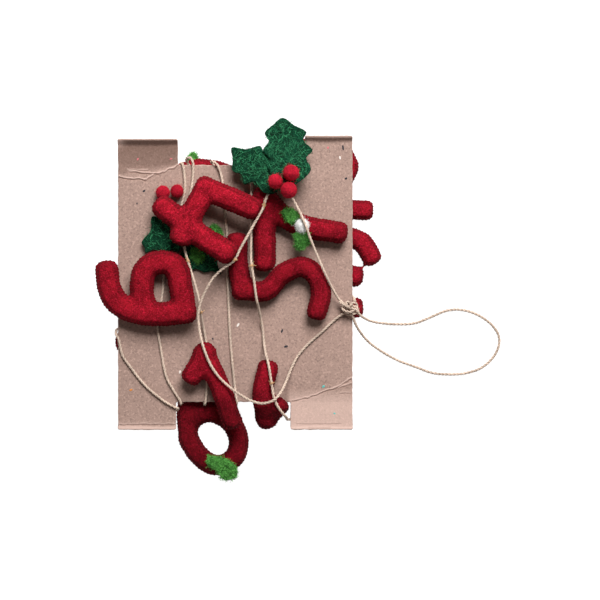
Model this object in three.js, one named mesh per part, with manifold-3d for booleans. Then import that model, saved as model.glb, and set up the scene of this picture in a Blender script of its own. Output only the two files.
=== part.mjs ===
// A felt garland wound on a flat H-shaped board, lying face up. Fourteen padded felt numerals,
// two holly sprigs and some mistletoe hang on one length of twine, which goes round the board
// five times, makes a bow over the front and ends in a hanging loop.
// Millimetres. +Z is up, away from the surface, and +Y is the top of the board.

import * as THREE from "three";
import { mergeVertices } from "three/addons/utils/BufferGeometryUtils.js";
import Module from "manifold-3d";

const wasm = await Module();
wasm.setup();

// Colours of the felt, wool, board and twine.
const RED = 0xa3202f;
const BERRY_RED = 0xa61e2d;
const HOLLY_GREEN = 0x194e36;
const MISTLETOE_GREEN = 0x4f8f3c;
const WHITE = 0xe6e2dc;
const BOARD_BROWN = 0xb89d90;
const TWINE_STRAW = 0xd6c4aa;

// The board.
const BOARD_UNDERSIDE = 17.7;
const BOARD_THICK = 2.1;
const BOARD_CORNER = 1.6;
const BOARD_MIDDLE = [
  [-93.6, -94.8],
  [94.0, -94.8],
  [94.0, 94.8],
  [-93.6, 94.8],
];
// The ears beside the winding notches: x from, x to, y of the fold, y of the end, and how far
// the ear is bent up at the fold, in degrees.
const EARS = [
  [-93.6, -45.6, 94.8, 116.4, 8],
  [56.0, 94.0, 94.8, 118.8, 2],
  [-93.6, -47.2, -94.8, -117.2, 2],
  [44.4, 94.0, -94.8, -117.2, 11],
];
const EAR_OVERLAP = 0.6;
const SHEET_TOLERANCE = 0.01;

// The padded tube that every numeral is made of.
const TUBE_HALF_WIDTH = 9;
const TUBE_HALF_THICK = 7.5;
const TUBE_SIDES = 10;
const TUBE_CAP_ROWS = 2;
const TUBE_ROW_LENGTH = 15;
const SEAM_TOLERANCE = 0.12;

// Centrelines of the strokes of each numeral, upright, from its middle: [x, y].
const oval = (cx, cy, rx, ry, from, to, steps) => {
  const points = [];
  for (let i = 0; i <= steps; i += 1) {
    const angle = THREE.MathUtils.degToRad(from + ((to - from) * i) / steps);
    points.push([cx + rx * Math.cos(angle), cy + ry * Math.sin(angle)]);
  }
  return points;
};
const DIGITS = {
  0: [oval(0, 0, 19, 28.5, -90, 90, 6), oval(0, 0, 19, 28.5, 90, 270, 6)],
  1: [
    [[1, 28], [2, 0], [0, -28]],
    [[1, 28], [-14, 17]],
  ],
  2: [
    [[-19, 14], [-14, 26], [0, 29], [17, 21], [14, 4], [-2, -13], [-18, -28]],
    [[-18, -28], [20, -28]],
  ],
  3: [
    [[-17, 25], [0, 29], [16, 20], [12, 5], [-10, 0]],
    [[-10, 0], [15, -5], [20, -17], [8, -28], [-10, -28], [-19, -20]],
  ],
  4: [
    [[20, 28], [18, 0], [13, -30]],
    [[-20, 28], [-18, 9], [-16, -9]],
    [[-16, -9], [6, -9], [24, -8]],
  ],
  5: [
    [[27, 34], [9, 33], [-10, 30]],
    [[-10, 30], [-11, 11], [2, -2], [8, -18], [0, -29], [-15, -33], [-26, -30]],
  ],
  6: [
    [[-19, -6], [-21, 12], [-19, 25], [-11, 34], [8, 36]],
    [[-19, -6], [-12, -18], [2, -27], [16, -22], [21, -10], [18, 3], [8, 13], [-5, 16], [-19, 9]],
  ],
  7: [
    [[26, 28], [1, 28], [-24, 28]],
    [[26, 28], [13, 16], [3, -2], [-2, -29]],
  ],
  8: [
    oval(0, 16, 13, 13, -90, 90, 5),
    oval(0, 16, 13, 13, 90, 270, 5),
    oval(0, -13, 15.5, 15.5, -90, 90, 6),
    oval(0, -13, 15.5, 15.5, 90, 270, 6),
  ],
  9: [
    [[18, 29], [19, 9], [16, -10], [8, -24], [-4, -30], [-16, -31]],
    [[18, 29], [-3, 27], [-19, 23], [-22, 9], [-16, -1], [-1, -4], [17, -2]],
  ],
  "1 short": [
    [[-2, -19], [2, -3], [1, 8], [-1, 19]],
    [[-1, 19], [-10, 10]],
  ],
};

// Where each numeral lies: name, digit, x, y, turn in degrees, and the height of its middle
// at places along its own upright, as [distance up the numeral, height].
const FLOOR = [[0, 7.5]];
const BOARD_TOP = [[0, 27.8]];
const NUMERALS = [
  ["numeral_8", 8, 61.6, 94.2, -90, FLOOR],
  ["numeral_0_upper", 0, -24.0, 73.6, 82, FLOOR],
  ["numeral_3", 3, 85.0, 9.0, 165, FLOOR],
  ["numeral_0_left", 0, -59.6, -47.6, 88, FLOOR],
  ["numeral_1_right", 1, 74.8, 59.2, 90, FLOOR],
  ["numeral_2", 2, -52.0, 11.6, 90, FLOOR],
  ["numeral_1_middle", 1, 38.4, -58.0, -90, FLOOR],
  ["numeral_6", 6, -18.4, -119.6, 0, FLOOR],
  ["numeral_7", 7, 51.8, 42.8, 90, BOARD_TOP],
  ["numeral_5", 5, 36.0, 5.2, 90, BOARD_TOP],
  ["numeral_1_short", "1 short", 24.0, -88.4, 180, [[11, 27.9], [20, 21]]],
  ["numeral_1_long", 1, -13.6, -82.0, 23, [[-30, 27], [-10, 29.8], [30, 30.2]]],
  ["numeral_4", 4, -22.4, 56.4, -119, [[-38, 33.0], [38, 41.3]]],
  ["numeral_9", 9, -69.6, -6.0, -87, [[-38, 28.8], [23, 31.6], [38, 32]]],
];

// Felt leaves: name, colour, thickness, height of the underside at the root and at the far
// end, the root, and the outline, which is a smooth line through tips and hollows in turn.
const HOLLY_THICK = 2.8;
const MISTLETOE_THICK = 2.4;
const LEAVES = [
  ["holly_upper_large_leaf", HOLLY_GREEN, HOLLY_THICK, 43.2, 29.4, [34, 74],
    [[38.2, 131.6], [47.1, 125.4], [57.2, 119.9], [54.2, 113.6], [62.0, 105.4], [56.6, 99.2],
      [60.8, 90.6], [57.4, 85.2], [50.4, 79.2], [44.0, 74.6], [37.4, 72.0], [30.8, 74.4],
      [27.6, 80.4], [29.8, 86.2], [26.2, 91.4], [28.8, 97.4], [22.6, 105.2], [27.6, 112.8],
      [23.9, 119.0], [31.2, 126.2]]],
  ["holly_upper_small_leaf", HOLLY_GREEN, HOLLY_THICK, 39.66, 28.8, [34, 74],
    [[-2.4, 107.8], [9.2, 106.4], [20.6, 109.0], [23.0, 103.8], [30.4, 98.0], [30.0, 90.0],
      [37.0, 83.0], [36.4, 75.0], [31.6, 70.9], [23.0, 71.6], [18.6, 77.4], [15.2, 80.8],
      [7.8, 78.0], [5.6, 86.4], [-1.6, 89.0], [-1.2, 98.4]]],
  ["holly_lower_left_leaf", HOLLY_GREEN, HOLLY_THICK, 22.5, 22.5, [-45, 40],
    [[-66.2, 53.2], [-57.4, 52.0], [-47.4, 56.8], [-41.8, 51.4], [-34.2, 49.0], [-39.0, 42.4],
      [-40.6, 36.4], [-42.6, 30.6], [-44.8, 25.4], [-50.2, 27.0], [-55.4, 25.2], [-63.0, 27.4],
      [-71.2, 24.6], [-71.6, 28.4], [-74.4, 32.8], [-66.6, 42.6]]],
  ["holly_lower_right_leaf", HOLLY_GREEN, HOLLY_THICK, 20.2, 20.2, [-30, 24],
    [[-39.2, 36.2], [-30.0, 33.6], [-21.8, 34.6], [-18.8, 27.8], [-12.8, 23.6], [-14.4, 15.2],
      [-10.8, 7.0], [-17.8, 9.8], [-24.8, 8.8], [-30.4, 11.8], [-36.2, 10.4], [-38.6, 16.4],
      [-43.8, 22.0], [-40.0, 28.8]]],
  ["mistletoe_7_upper_leaf", MISTLETOE_GREEN, MISTLETOE_THICK, 35.7, 35.7, [52, 46],
    [[38.0, 57.4], [42.4, 58.8], [47.4, 57.8], [51.2, 53.2], [49.2, 48.9], [46.0, 47.2],
      [41.4, 50.4]]],
  ["mistletoe_7_lower_leaf", MISTLETOE_GREEN, MISTLETOE_THICK, 36.9, 32, [55.5, 42],
    [[47.4, 39.2], [53.4, 40.1], [59.6, 38.8], [59.0, 33.8], [56.4, 29.6], [51.8, 27.0],
      [48.6, 29.2], [48.2, 34.0]]],
  ["mistletoe_4_upper_leaf", MISTLETOE_GREEN, MISTLETOE_THICK, 20.2, 20.2, [-14, 42],
    [[-19.4, 45.6], [-16.0, 46.8], [-12.4, 44.4], [-10.4, 39.4], [-13.8, 36.6], [-18.6, 39.6]]],
  ["mistletoe_4_lower_leaf", MISTLETOE_GREEN, MISTLETOE_THICK, 23.4, 23.4, [-34, 22],
    [[-34.2, 26.4], [-30.6, 28.0], [-26.4, 25.6], [-24.8, 20.6], [-28.6, 16.8], [-33.2, 19.0]]],
  ["mistletoe_notch_leaf", MISTLETOE_GREEN, MISTLETOE_THICK, 0.1, 0.1, [-34, 98],
    [[-38.6, 100.0], [-37.6, 104.4], [-34.8, 106.4], [-32.2, 104.8], [-30.8, 100.0],
      [-34.8, 99.1]]],
  ["mistletoe_6_leaf", MISTLETOE_GREEN, MISTLETOE_THICK, 15.5, 15.5, [-12, -150],
    [[-21.6, -139.2], [-14.4, -139.0], [-7.4, -140.8], [-1.6, -144.8], [1.4, -150.2],
      [0.4, -155.2], [-4.0, -157.1], [-9.8, -156.6], [-13.2, -151.6], [-17.4, -147.6],
      [-22.0, -144.4]]],
];
const LEAF_CELL = 9;
const LEAF_STEPS_PER_POINT = 3;

// Wool balls: name, colour, x, y, height of the middle, radius, half height.
const BALLS = [
  ["holly_upper_berry_top", BERRY_RED, 45.0, 86.4, 49.8, 6.3, 6.3],
  ["holly_upper_berry_left", BERRY_RED, 32.8, 79.8, 51.6, 5.6, 5.6],
  ["holly_upper_berry_low", BERRY_RED, 43.2, 72.9, 51.5, 6.4, 6.4],
  ["holly_lower_berry_left", BERRY_RED, -57.2, 72.4, 25.8, 5.6, 5.6],
  ["holly_lower_berry_right", BERRY_RED, -46.0, 73.6, 25.4, 5.2, 5.2],
  ["mistletoe_7_berry", WHITE, 53.8, 45.6, 39.1, 5.2, 3.4],
  ["twine_knot", TWINE_STRAW, 92.0, -19.6, 24.4, 5.3, 3.7],
];
const BALL_SIDES = 12;
const BALL_ROWS = 8;

// Twine, as points along its middle: [x, y, z].
const TWINE_RADIUS = 1;
const TWINE_SIDES = 6;
// Five turns round the board, from the knot to the end tucked behind the lower left ear.
const WOUND_ROUTE = [
  [96.0, -14.0, 24.0], [95.2, -13.5, 20.9], [95.7, -12.4, 18.75], [95.2, -11.3, 16.6],
  [93.6, -10.0, 16.3], [88.0, -0.4, 16.35], [72.0, 22.8, 16.35], [56.0, 49.2, 16.35],
  [40.0, 80.4, 16.35], [18.4, 89.2, 16.35], [14.6, 94.4, 16.3], [14.2, 96.0, 16.6],
  [13.9, 96.5, 18.75], [13.6, 96.0, 20.9], [13.3, 94.4, 21.2], [13.2, 74.8, 25.0],
  [13.2, 57.2, 30.5], [13.2, 34.8, 33.0], [13.4, 17.2, 35.0], [15.6, 2.8, 37.2],
  [17.6, -12.4, 36.8], [19.6, -22.0, 29.5], [22.0, -35.6, 21.8], [23.2, -46.8, 22.6],
  [24.8, -55.6, 30.5], [26.8, -62.8, 36.4], [29.2, -77.2, 37.0], [31.2, -89.2, 36.8],
  [33.9, -96.4, 37.0], [37.0, -101.2, 36.5], [39.4, -104.4, 33.8], [41.0, -106.6, 28.0],
  [41.6, -108.2, 21.5], [41.9, -108.9, 17.2], [44.2, -108.9, 16.3], [48.8, -102.8, 16.35],
  [44.0, -58.0, 16.35], [21.6, -13.2, 16.35], [4.0, 38.8, 16.35], [-12.8, 89.2, 16.35],
  [-16.4, 93.6, 16.3], [-18.2, 96.2, 16.5], [-19.0, 97.4, 18.8], [-18.1, 97.7, 21.4],
  [-14.4, 95.1, 22.3], [-11.2, 86.8, 21.5], [-9.2, 74.8, 21.1], [-8.0, 58.8, 21.1],
  [-6.4, 38.8, 21.1], [-6.4, 17.2, 21.1], [-5.2, -13.2, 21.1], [-4.0, -41.2, 21.1],
  [-1.6, -69.2, 21.1], [0.8, -90.0, 21.1], [1.6, -94.4, 21.2], [1.3, -96.0, 20.9],
  [1.0, -96.5, 18.75], [0.6, -96.0, 16.6], [0.3, -94.4, 16.3], [-2.4, -89.2, 16.35],
  [-7.2, -77.2, 16.35], [-23.2, -13.2, 16.35], [-28.8, 38.8, 16.35], [-33.6, 86.0, 16.35],
  [-36.0, 92.7, 16.3], [-37.9, 96.2, 16.5], [-39.0, 98.5, 18.8], [-38.2, 100.2, 21.6],
  [-35.7, 100.4, 22.8], [-33.9, 97.7, 22.7], [-33.4, 92.4, 21.5], [-34.0, 82.8, 21.1],
  [-36.4, 66.0, 23.4], [-38.8, 54.8, 26.7], [-40.3, 39.6, 26.9], [-39.7, 27.6, 27.8],
  [-37.1, 18.0, 30.4], [-31.7, 0.4, 30.6], [-28.6, -11.6, 30.6], [-27.2, -22.0, 29.5],
  [-25.2, -34.0, 24.0], [-23.2, -46.8, 21.1], [-22.0, -65.2, 21.1], [-22.4, -83.6, 21.1],
  [-23.5, -94.4, 21.2], [-23.9, -96.0, 20.9], [-24.2, -96.5, 18.75], [-24.6, -96.0, 16.6],
  [-25.0, -94.4, 16.3], [-28.0, -88.4, 16.35], [-37.6, -61.2, 16.35], [-48.8, -5.2, 16.35],
  [-47.2, 42.8, 16.35], [-44.8, 82.8, 16.35], [-44.0, 94.4, 16.3], [-43.4, 96.0, 16.6],
  [-42.8, 96.5, 18.75], [-42.2, 96.0, 20.9], [-41.6, 94.4, 21.2], [-40.0, 76.4, 21.1],
  [-44.0, 58.8, 21.1], [-50.4, 36.4, 21.1], [-55.6, 14.8, 21.1], [-58.0, -7.6, 21.1],
  [-61.6, -33.2, 21.1], [-58.8, -54.8, 21.1], [-54.8, -74.8, 21.1], [-49.2, -85.2, 21.1],
  [-43.5, -94.4, 21.2], [-43.4, -96.0, 20.9], [-43.2, -96.5, 18.75], [-43.0, -96.0, 16.6],
  [-42.9, -94.4, 16.3], [-48.8, -86.8, 16.35], [-68.0, -66.0, 16.35], [-87.2, -43.6, 16.35],
  [-93.2, -36.4, 16.3], [-94.8, -36.8, 16.6], [-95.2, -38.8, 18.75], [-94.8, -41.2, 20.9],
  [-93.2, -44.0, 21.2], [-89.6, -58.0, 21.1], [-84.0, -66.0, 21.1], [-72.8, -80.4, 21.1],
  [-60.0, -91.6, 21.1], [-52.8, -96.4, 21.3], [-47.6, -99.0, 21.5], [-46.0, -99.6, 21.2],
  [-45.6, -100.4, 19.0], [-46.0, -101.2, 16.8], [-47.6, -101.7, 16.5], [-52.8, -101.8, 16.5],
];
// The bow, from the knot down round the 1s, up over the front and back to the knot.
const BOW_ROUTE = [
  [86.7, -23.8, 23.4], [80.8, -28.0, 21.6], [69.6, -38.4, 21.1], [57.6, -49.2, 21.1],
  [49.6, -58.8, 21.6], [44.4, -69.2, 24.0], [40.8, -78.4, 30.5], [36.8, -86.0, 37.3],
  [31.6, -92.0, 39.7], [23.2, -94.8, 39.5], [13.6, -92.8, 38.4], [4.0, -87.6, 37.8],
  [-4.0, -81.6, 38.2], [-11.2, -74.8, 39.1], [-17.6, -66.0, 39.5], [-22.4, -55.6, 39.4],
  [-25.8, -45.2, 37.0], [-27.8, -34.8, 35.0], [-28.6, -24.4, 34.6], [-26.8, -15.6, 35.0],
  [-22.4, -5.2, 35.4], [-16.4, 4.4, 36.2], [-9.2, 11.2, 38.4], [-0.2, 17.8, 40.2],
  [5.2, 27.6, 41.0], [11.0, 38.0, 41.2], [16.8, 48.4, 40.8], [22.4, 58.4, 39.8],
  [24.8, 65.6, 38.4], [27.6, 71.6, 37.4], [32.8, 75.6, 37.2], [39.2, 74.4, 37.4],
  [44.8, 68.8, 38.6], [49.2, 61.2, 41.0], [53.2, 53.2, 43.4], [56.6, 44.8, 44.1],
  [60.0, 35.6, 41.5], [64.0, 25.6, 38.8], [68.8, 14.4, 37.4], [74.0, 3.2, 35.2],
  [78.8, -6.0, 29.8], [83.2, -12.8, 25.6], [87.2, -16.4, 24.4],
];
// The hanging loop, from the knot out over the surface and back.
const LOOP_ROUTE = [
  [97.1, -22.4, 23.0], [100.4, -25.6, 19.5], [105.6, -28.8, 13.0], [112.0, -31.0, 6.5],
  [120.8, -32.2, 2.3], [133.6, -32.8, 1.3], [145.6, -31.8, 1.3], [157.6, -27.2, 1.3],
  [169.6, -22.2, 1.3], [178.4, -20.9, 1.3], [188.8, -22.4, 1.3], [199.2, -27.0, 1.3],
  [208.0, -34.0, 1.3], [213.2, -42.8, 1.3], [212.4, -52.4, 1.3], [206.8, -61.6, 1.3],
  [197.6, -68.8, 1.3], [186.4, -72.4, 1.3], [173.6, -73.4, 1.3], [159.2, -72.2, 1.3],
  [146.4, -67.6, 1.3], [131.2, -62.0, 1.3], [118.4, -55.0, 2.6], [108.0, -47.6, 8.0],
  [100.8, -39.6, 15.0], [96.4, -32.4, 20.5], [93.9, -25.8, 23.2],
];

const MERGE_DISTANCE = 1e-4;
const UP = new THREE.Vector3(0, 0, 1);

// A solid from a surface, with shared corners joined and empty triangles dropped.
function toSolid(geometry) {
  const bare = geometry.clone();
  bare.deleteAttribute("normal");
  bare.deleteAttribute("uv");
  const merged = mergeVertices(bare, MERGE_DISTANCE);
  const index = merged.getIndex().array;
  const kept = [];
  for (let i = 0; i < index.length; i += 3) {
    const [a, b, c] = [index[i], index[i + 1], index[i + 2]];
    if (a !== b && b !== c && a !== c) kept.push(a, b, c);
  }
  const mesh = new wasm.Mesh({
    numProp: 3,
    vertProperties: Float32Array.from(merged.getAttribute("position").array),
    triVerts: Uint32Array.from(kept),
  });
  return new wasm.Manifold(mesh);
}

function toGeometry(solid) {
  const mesh = solid.getMesh();
  const geometry = new THREE.BufferGeometry();
  geometry.setAttribute("position", new THREE.BufferAttribute(Float32Array.from(mesh.vertProperties), 3));
  geometry.setIndex(new THREE.BufferAttribute(Uint32Array.from(mesh.triVerts), 1));
  geometry.computeVertexNormals();
  return geometry;
}

const group = new THREE.Group();
group.name = "felt_garland";

function addPiece(name, geometry, colour) {
  const material = new THREE.MeshStandardMaterial({ color: colour, roughness: 0.9 });
  material.name = name;
  const mesh = new THREE.Mesh(geometry, material);
  mesh.name = name;
  group.add(mesh);
}

// A flat sheet with rounded corners.
function sheetSolid(outline) {
  const shape = new THREE.Shape();
  const corners = outline.map(([x, y]) => new THREE.Vector2(x, y));
  corners.forEach((corner, i) => {
    const before = corners[(i + corners.length - 1) % corners.length];
    const after = corners[(i + 1) % corners.length];
    const start = corner.clone().add(before.clone().sub(corner).setLength(BOARD_CORNER));
    const end = corner.clone().add(after.clone().sub(corner).setLength(BOARD_CORNER));
    if (i === 0) shape.moveTo(start.x, start.y);
    else shape.lineTo(start.x, start.y);
    shape.quadraticCurveTo(corner.x, corner.y, end.x, end.y);
  });
  shape.closePath();
  const sheet = new THREE.ExtrudeGeometry(shape, {
    depth: BOARD_THICK,
    bevelEnabled: false,
    curveSegments: 3,
  });
  return sheet.translate(0, 0, BOARD_UNDERSIDE);
}

// The board: a flat middle with four ears, each bent up a little along its fold.
function boardGeometry() {
  const middle = BOARD_UNDERSIDE + BOARD_THICK / 2;
  const ears = EARS.map(([x0, x1, fold, end, bend]) => {
    const inner = fold - Math.sign(fold) * EAR_OVERLAP;
    const outline = [[x0, inner], [x1, inner], [x1, end], [x0, end]];
    const ear = sheetSolid(fold > 0 ? outline : outline.reverse());
    ear.translate(0, -fold, -middle);
    ear.rotateX(THREE.MathUtils.degToRad(bend) * Math.sign(fold));
    return toSolid(ear.translate(0, fold, middle));
  });
  const sheet = ears.reduce((whole, ear) => whole.add(ear), toSolid(sheetSolid(BOARD_MIDDLE)));
  return toGeometry(sheet.simplify(SHEET_TOLERANCE));
}

// Height of a numeral's middle, at a distance up its own upright.
function heightAlong(lay, y) {
  if (y <= lay[0][0]) return lay[0][1];
  for (let i = 1; i < lay.length; i += 1) {
    const [y0, z0] = lay[i - 1];
    const [y1, z1] = lay[i];
    if (y <= y1) return THREE.MathUtils.mapLinear(y, y0, y1, z0, z1);
  }
  return lay[lay.length - 1][1];
}

// One padded stroke: a round-ended tube bent along its centreline, wider than it is thick.
function strokeSolid(points) {
  const curve = new THREE.CatmullRomCurve3(points, false, "centripetal");
  const length = curve.getLength();
  const rows = Math.max(1, Math.round(length / TUBE_ROW_LENGTH));
  const tube = new THREE.CapsuleGeometry(TUBE_HALF_WIDTH, length, TUBE_CAP_ROWS, TUBE_SIDES, rows);
  const position = tube.getAttribute("position");
  const flatness = TUBE_HALF_THICK / (TUBE_HALF_WIDTH * Math.cos(Math.PI / TUBE_SIDES));
  const vertex = new THREE.Vector3();
  for (let i = 0; i < position.count; i += 1) {
    vertex.fromBufferAttribute(position, i);
    const along = THREE.MathUtils.clamp(vertex.y, -length / 2, length / 2);
    const beyond = vertex.y - along;
    const t = along / length + 0.5;
    const middle = curve.getPointAt(t);
    const tangent = curve.getTangentAt(t);
    const side = new THREE.Vector3().crossVectors(tangent, UP).normalize();
    const up = new THREE.Vector3().crossVectors(side, tangent);
    middle.addScaledVector(tangent, beyond);
    middle.addScaledVector(side, vertex.x);
    middle.addScaledVector(up, vertex.z * flatness);
    position.setXYZ(i, middle.x, middle.y, middle.z);
  }
  return toSolid(tube);
}

function numeralSolid(digit, x, y, turn, lay) {
  const angle = THREE.MathUtils.degToRad(turn);
  const strokes = DIGITS[digit].map((stroke) => {
    const points = stroke.map(([px, py]) => {
      const place = new THREE.Vector3(px, py, heightAlong(lay, py)).applyAxisAngle(UP, angle);
      return place.add(new THREE.Vector3(x, y, 0));
    });
    return strokeSolid(points);
  });
  return strokes.reduce((whole, stroke) => whole.add(stroke)).simplify(SEAM_TOLERANCE);
}

// A felt leaf: a gently sloping sheet cut to its outline.
function leafSolid(thick, rootHeight, endHeight, root, outline) {
  const corners = outline.map(([x, y]) => new THREE.Vector2(x, y));
  const box = new THREE.Box2().setFromPoints(corners).expandByScalar(LEAF_CELL);
  const size = box.getSize(new THREE.Vector2());
  const middle = box.getCenter(new THREE.Vector2());
  const rootPoint = new THREE.Vector2(root[0], root[1]);
  const reach = Math.max(...corners.map((corner) => corner.distanceTo(rootPoint)));
  const flat = rootHeight === endHeight;
  const columns = flat ? 1 : Math.round(size.x / LEAF_CELL);
  const rows = flat ? 1 : Math.round(size.y / LEAF_CELL);
  const sheet = new THREE.BoxGeometry(size.x, size.y, thick, columns, rows, 1);
  sheet.translate(middle.x, middle.y, thick / 2);
  const position = sheet.getAttribute("position");
  for (let i = 0; i < position.count; i += 1) {
    const away = rootPoint.distanceTo(new THREE.Vector2(position.getX(i), position.getY(i)));
    const slope = THREE.MathUtils.smoothstep(away, 0, reach);
    position.setZ(i, position.getZ(i) + THREE.MathUtils.lerp(rootHeight, endHeight, slope));
  }
  const edge = new THREE.CatmullRomCurve3(
    outline.map(([x, y]) => new THREE.Vector3(x, y, 0)),
    true,
    "centripetal",
  );
  const shape = new THREE.Shape();
  edge.getPoints(outline.length * LEAF_STEPS_PER_POINT).slice(1).forEach(({ x, y }, i) => {
    if (i === 0) shape.moveTo(x, y);
    else shape.lineTo(x, y);
  });
  const cutter = new THREE.ExtrudeGeometry(shape, {
    depth: rootHeight + thick + LEAF_CELL,
    bevelEnabled: false,
  });
  return toSolid(sheet).intersect(toSolid(cutter)).simplify(SHEET_TOLERANCE);
}

function ballGeometry(x, y, z, radius, halfHeight) {
  const ball = new THREE.SphereGeometry(radius, BALL_SIDES, BALL_ROWS);
  ball.scale(1, 1, halfHeight / radius);
  return ball.translate(x, y, z);
}

// A smooth curve whose points are spaced as they are listed, close together at sharp bends.
class ListedCurve extends THREE.CatmullRomCurve3 {
  getUtoTmapping(u) {
    return u;
  }
}

function twineGeometry(route) {
  const points = route.map(([x, y, z]) => new THREE.Vector3(x, y, z));
  const section = new THREE.Shape();
  for (let i = 0; i < TWINE_SIDES; i += 1) {
    const angle = (i / TWINE_SIDES) * Math.PI * 2;
    const [x, y] = [TWINE_RADIUS * Math.cos(angle), TWINE_RADIUS * Math.sin(angle)];
    if (i === 0) section.moveTo(x, y);
    else section.lineTo(x, y);
  }
  section.closePath();
  return new THREE.ExtrudeGeometry(section, {
    steps: points.length - 1,
    bevelEnabled: false,
    extrudePath: new ListedCurve(points, false, "centripetal"),
  });
}

addPiece("board", boardGeometry(), BOARD_BROWN);
for (const [name, digit, x, y, turn, lay] of NUMERALS) {
  addPiece(name, toGeometry(numeralSolid(digit, x, y, turn, lay)), RED);
}
for (const [name, colour, thick, rootHeight, endHeight, root, outline] of LEAVES) {
  addPiece(name, toGeometry(leafSolid(thick, rootHeight, endHeight, root, outline)), colour);
}
for (const [name, colour, x, y, z, radius, halfHeight] of BALLS) {
  addPiece(name, ballGeometry(x, y, z, radius, halfHeight), colour);
}
addPiece("twine_wound", twineGeometry(WOUND_ROUTE), TWINE_STRAW);
addPiece("twine_bow", twineGeometry(BOW_ROUTE), TWINE_STRAW);
addPiece("twine_loop", twineGeometry(LOOP_ROUTE), TWINE_STRAW);

// The origin lies on the surface, under the middle of all but the free twine.
const FREE_TWINE = ["twine_bow", "twine_loop"];
const extent = new THREE.Box3();
for (const mesh of group.children) {
  if (!FREE_TWINE.includes(mesh.name)) extent.expandByObject(mesh);
}
const middle = extent.getCenter(new THREE.Vector3());
for (const mesh of group.children) mesh.geometry.translate(-middle.x, -middle.y, 0);

export default group;
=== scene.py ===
"""Felt garland on its winding board, as a set of makers' steps.

Each operator below makes one piece, or one group of like pieces, of the garland: the twine,
the board, the padded numerals, the holly, the mistletoe and the ties. Lengths in the tables are
millimetres from the middle of the board, as in the CAD part.
"""

import math
import random
from typing import NamedTuple

import bmesh
import bpy
import numpy as np
from mathutils import Euler, Matrix, Vector, noise
from mathutils.bvhtree import BVHTree
from mathutils.kdtree import KDTree


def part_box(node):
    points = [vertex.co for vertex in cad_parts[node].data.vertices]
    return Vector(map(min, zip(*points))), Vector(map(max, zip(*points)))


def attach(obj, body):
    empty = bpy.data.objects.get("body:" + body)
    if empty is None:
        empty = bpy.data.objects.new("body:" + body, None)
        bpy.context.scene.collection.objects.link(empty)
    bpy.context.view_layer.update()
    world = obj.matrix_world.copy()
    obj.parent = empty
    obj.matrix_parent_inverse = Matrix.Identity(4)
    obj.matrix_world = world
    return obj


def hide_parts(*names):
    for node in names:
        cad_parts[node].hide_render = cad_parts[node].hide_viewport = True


bl_info = {
    "name": "Felt garland",
    "version": (1, 0, 0),
    "blender": (4, 5, 0),
    "location": "View3D > Sidebar > Garland",
    "description": "Makes a felt garland wound on a flat board",
    "category": "Add Mesh",
}

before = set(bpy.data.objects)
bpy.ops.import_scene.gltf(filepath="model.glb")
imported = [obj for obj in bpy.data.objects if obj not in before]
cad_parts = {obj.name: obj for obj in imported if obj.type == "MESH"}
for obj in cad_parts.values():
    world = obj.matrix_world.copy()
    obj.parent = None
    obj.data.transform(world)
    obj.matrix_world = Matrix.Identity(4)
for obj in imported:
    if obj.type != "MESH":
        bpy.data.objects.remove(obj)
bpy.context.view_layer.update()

MM = 0.001
UP = np.array([0.0, 0.0, 1.0])
WHITE = (1.0, 1.0, 1.0, 1.0)
# The tables count from a point that lies this far from the middle of the top berry.
BERRY_LOW, BERRY_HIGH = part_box("holly_upper_berry_top")
BERRY_AT = (45.0, 86.4)
ORIGIN_X = (BERRY_LOW[0] + BERRY_HIGH[0]) / 2 - BERRY_AT[0] * MM
ORIGIN_Y = (BERRY_LOW[1] + BERRY_HIGH[1]) / 2 - BERRY_AT[1] * MM
BOARD_UNDER = 17.7
BOARD_TOP = 19.8
# The least height of anything over the floor, and how close points of a solid are joined.
FLOOR_GAP = 0.05
WELD = 0.001
BODY = "root"

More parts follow.
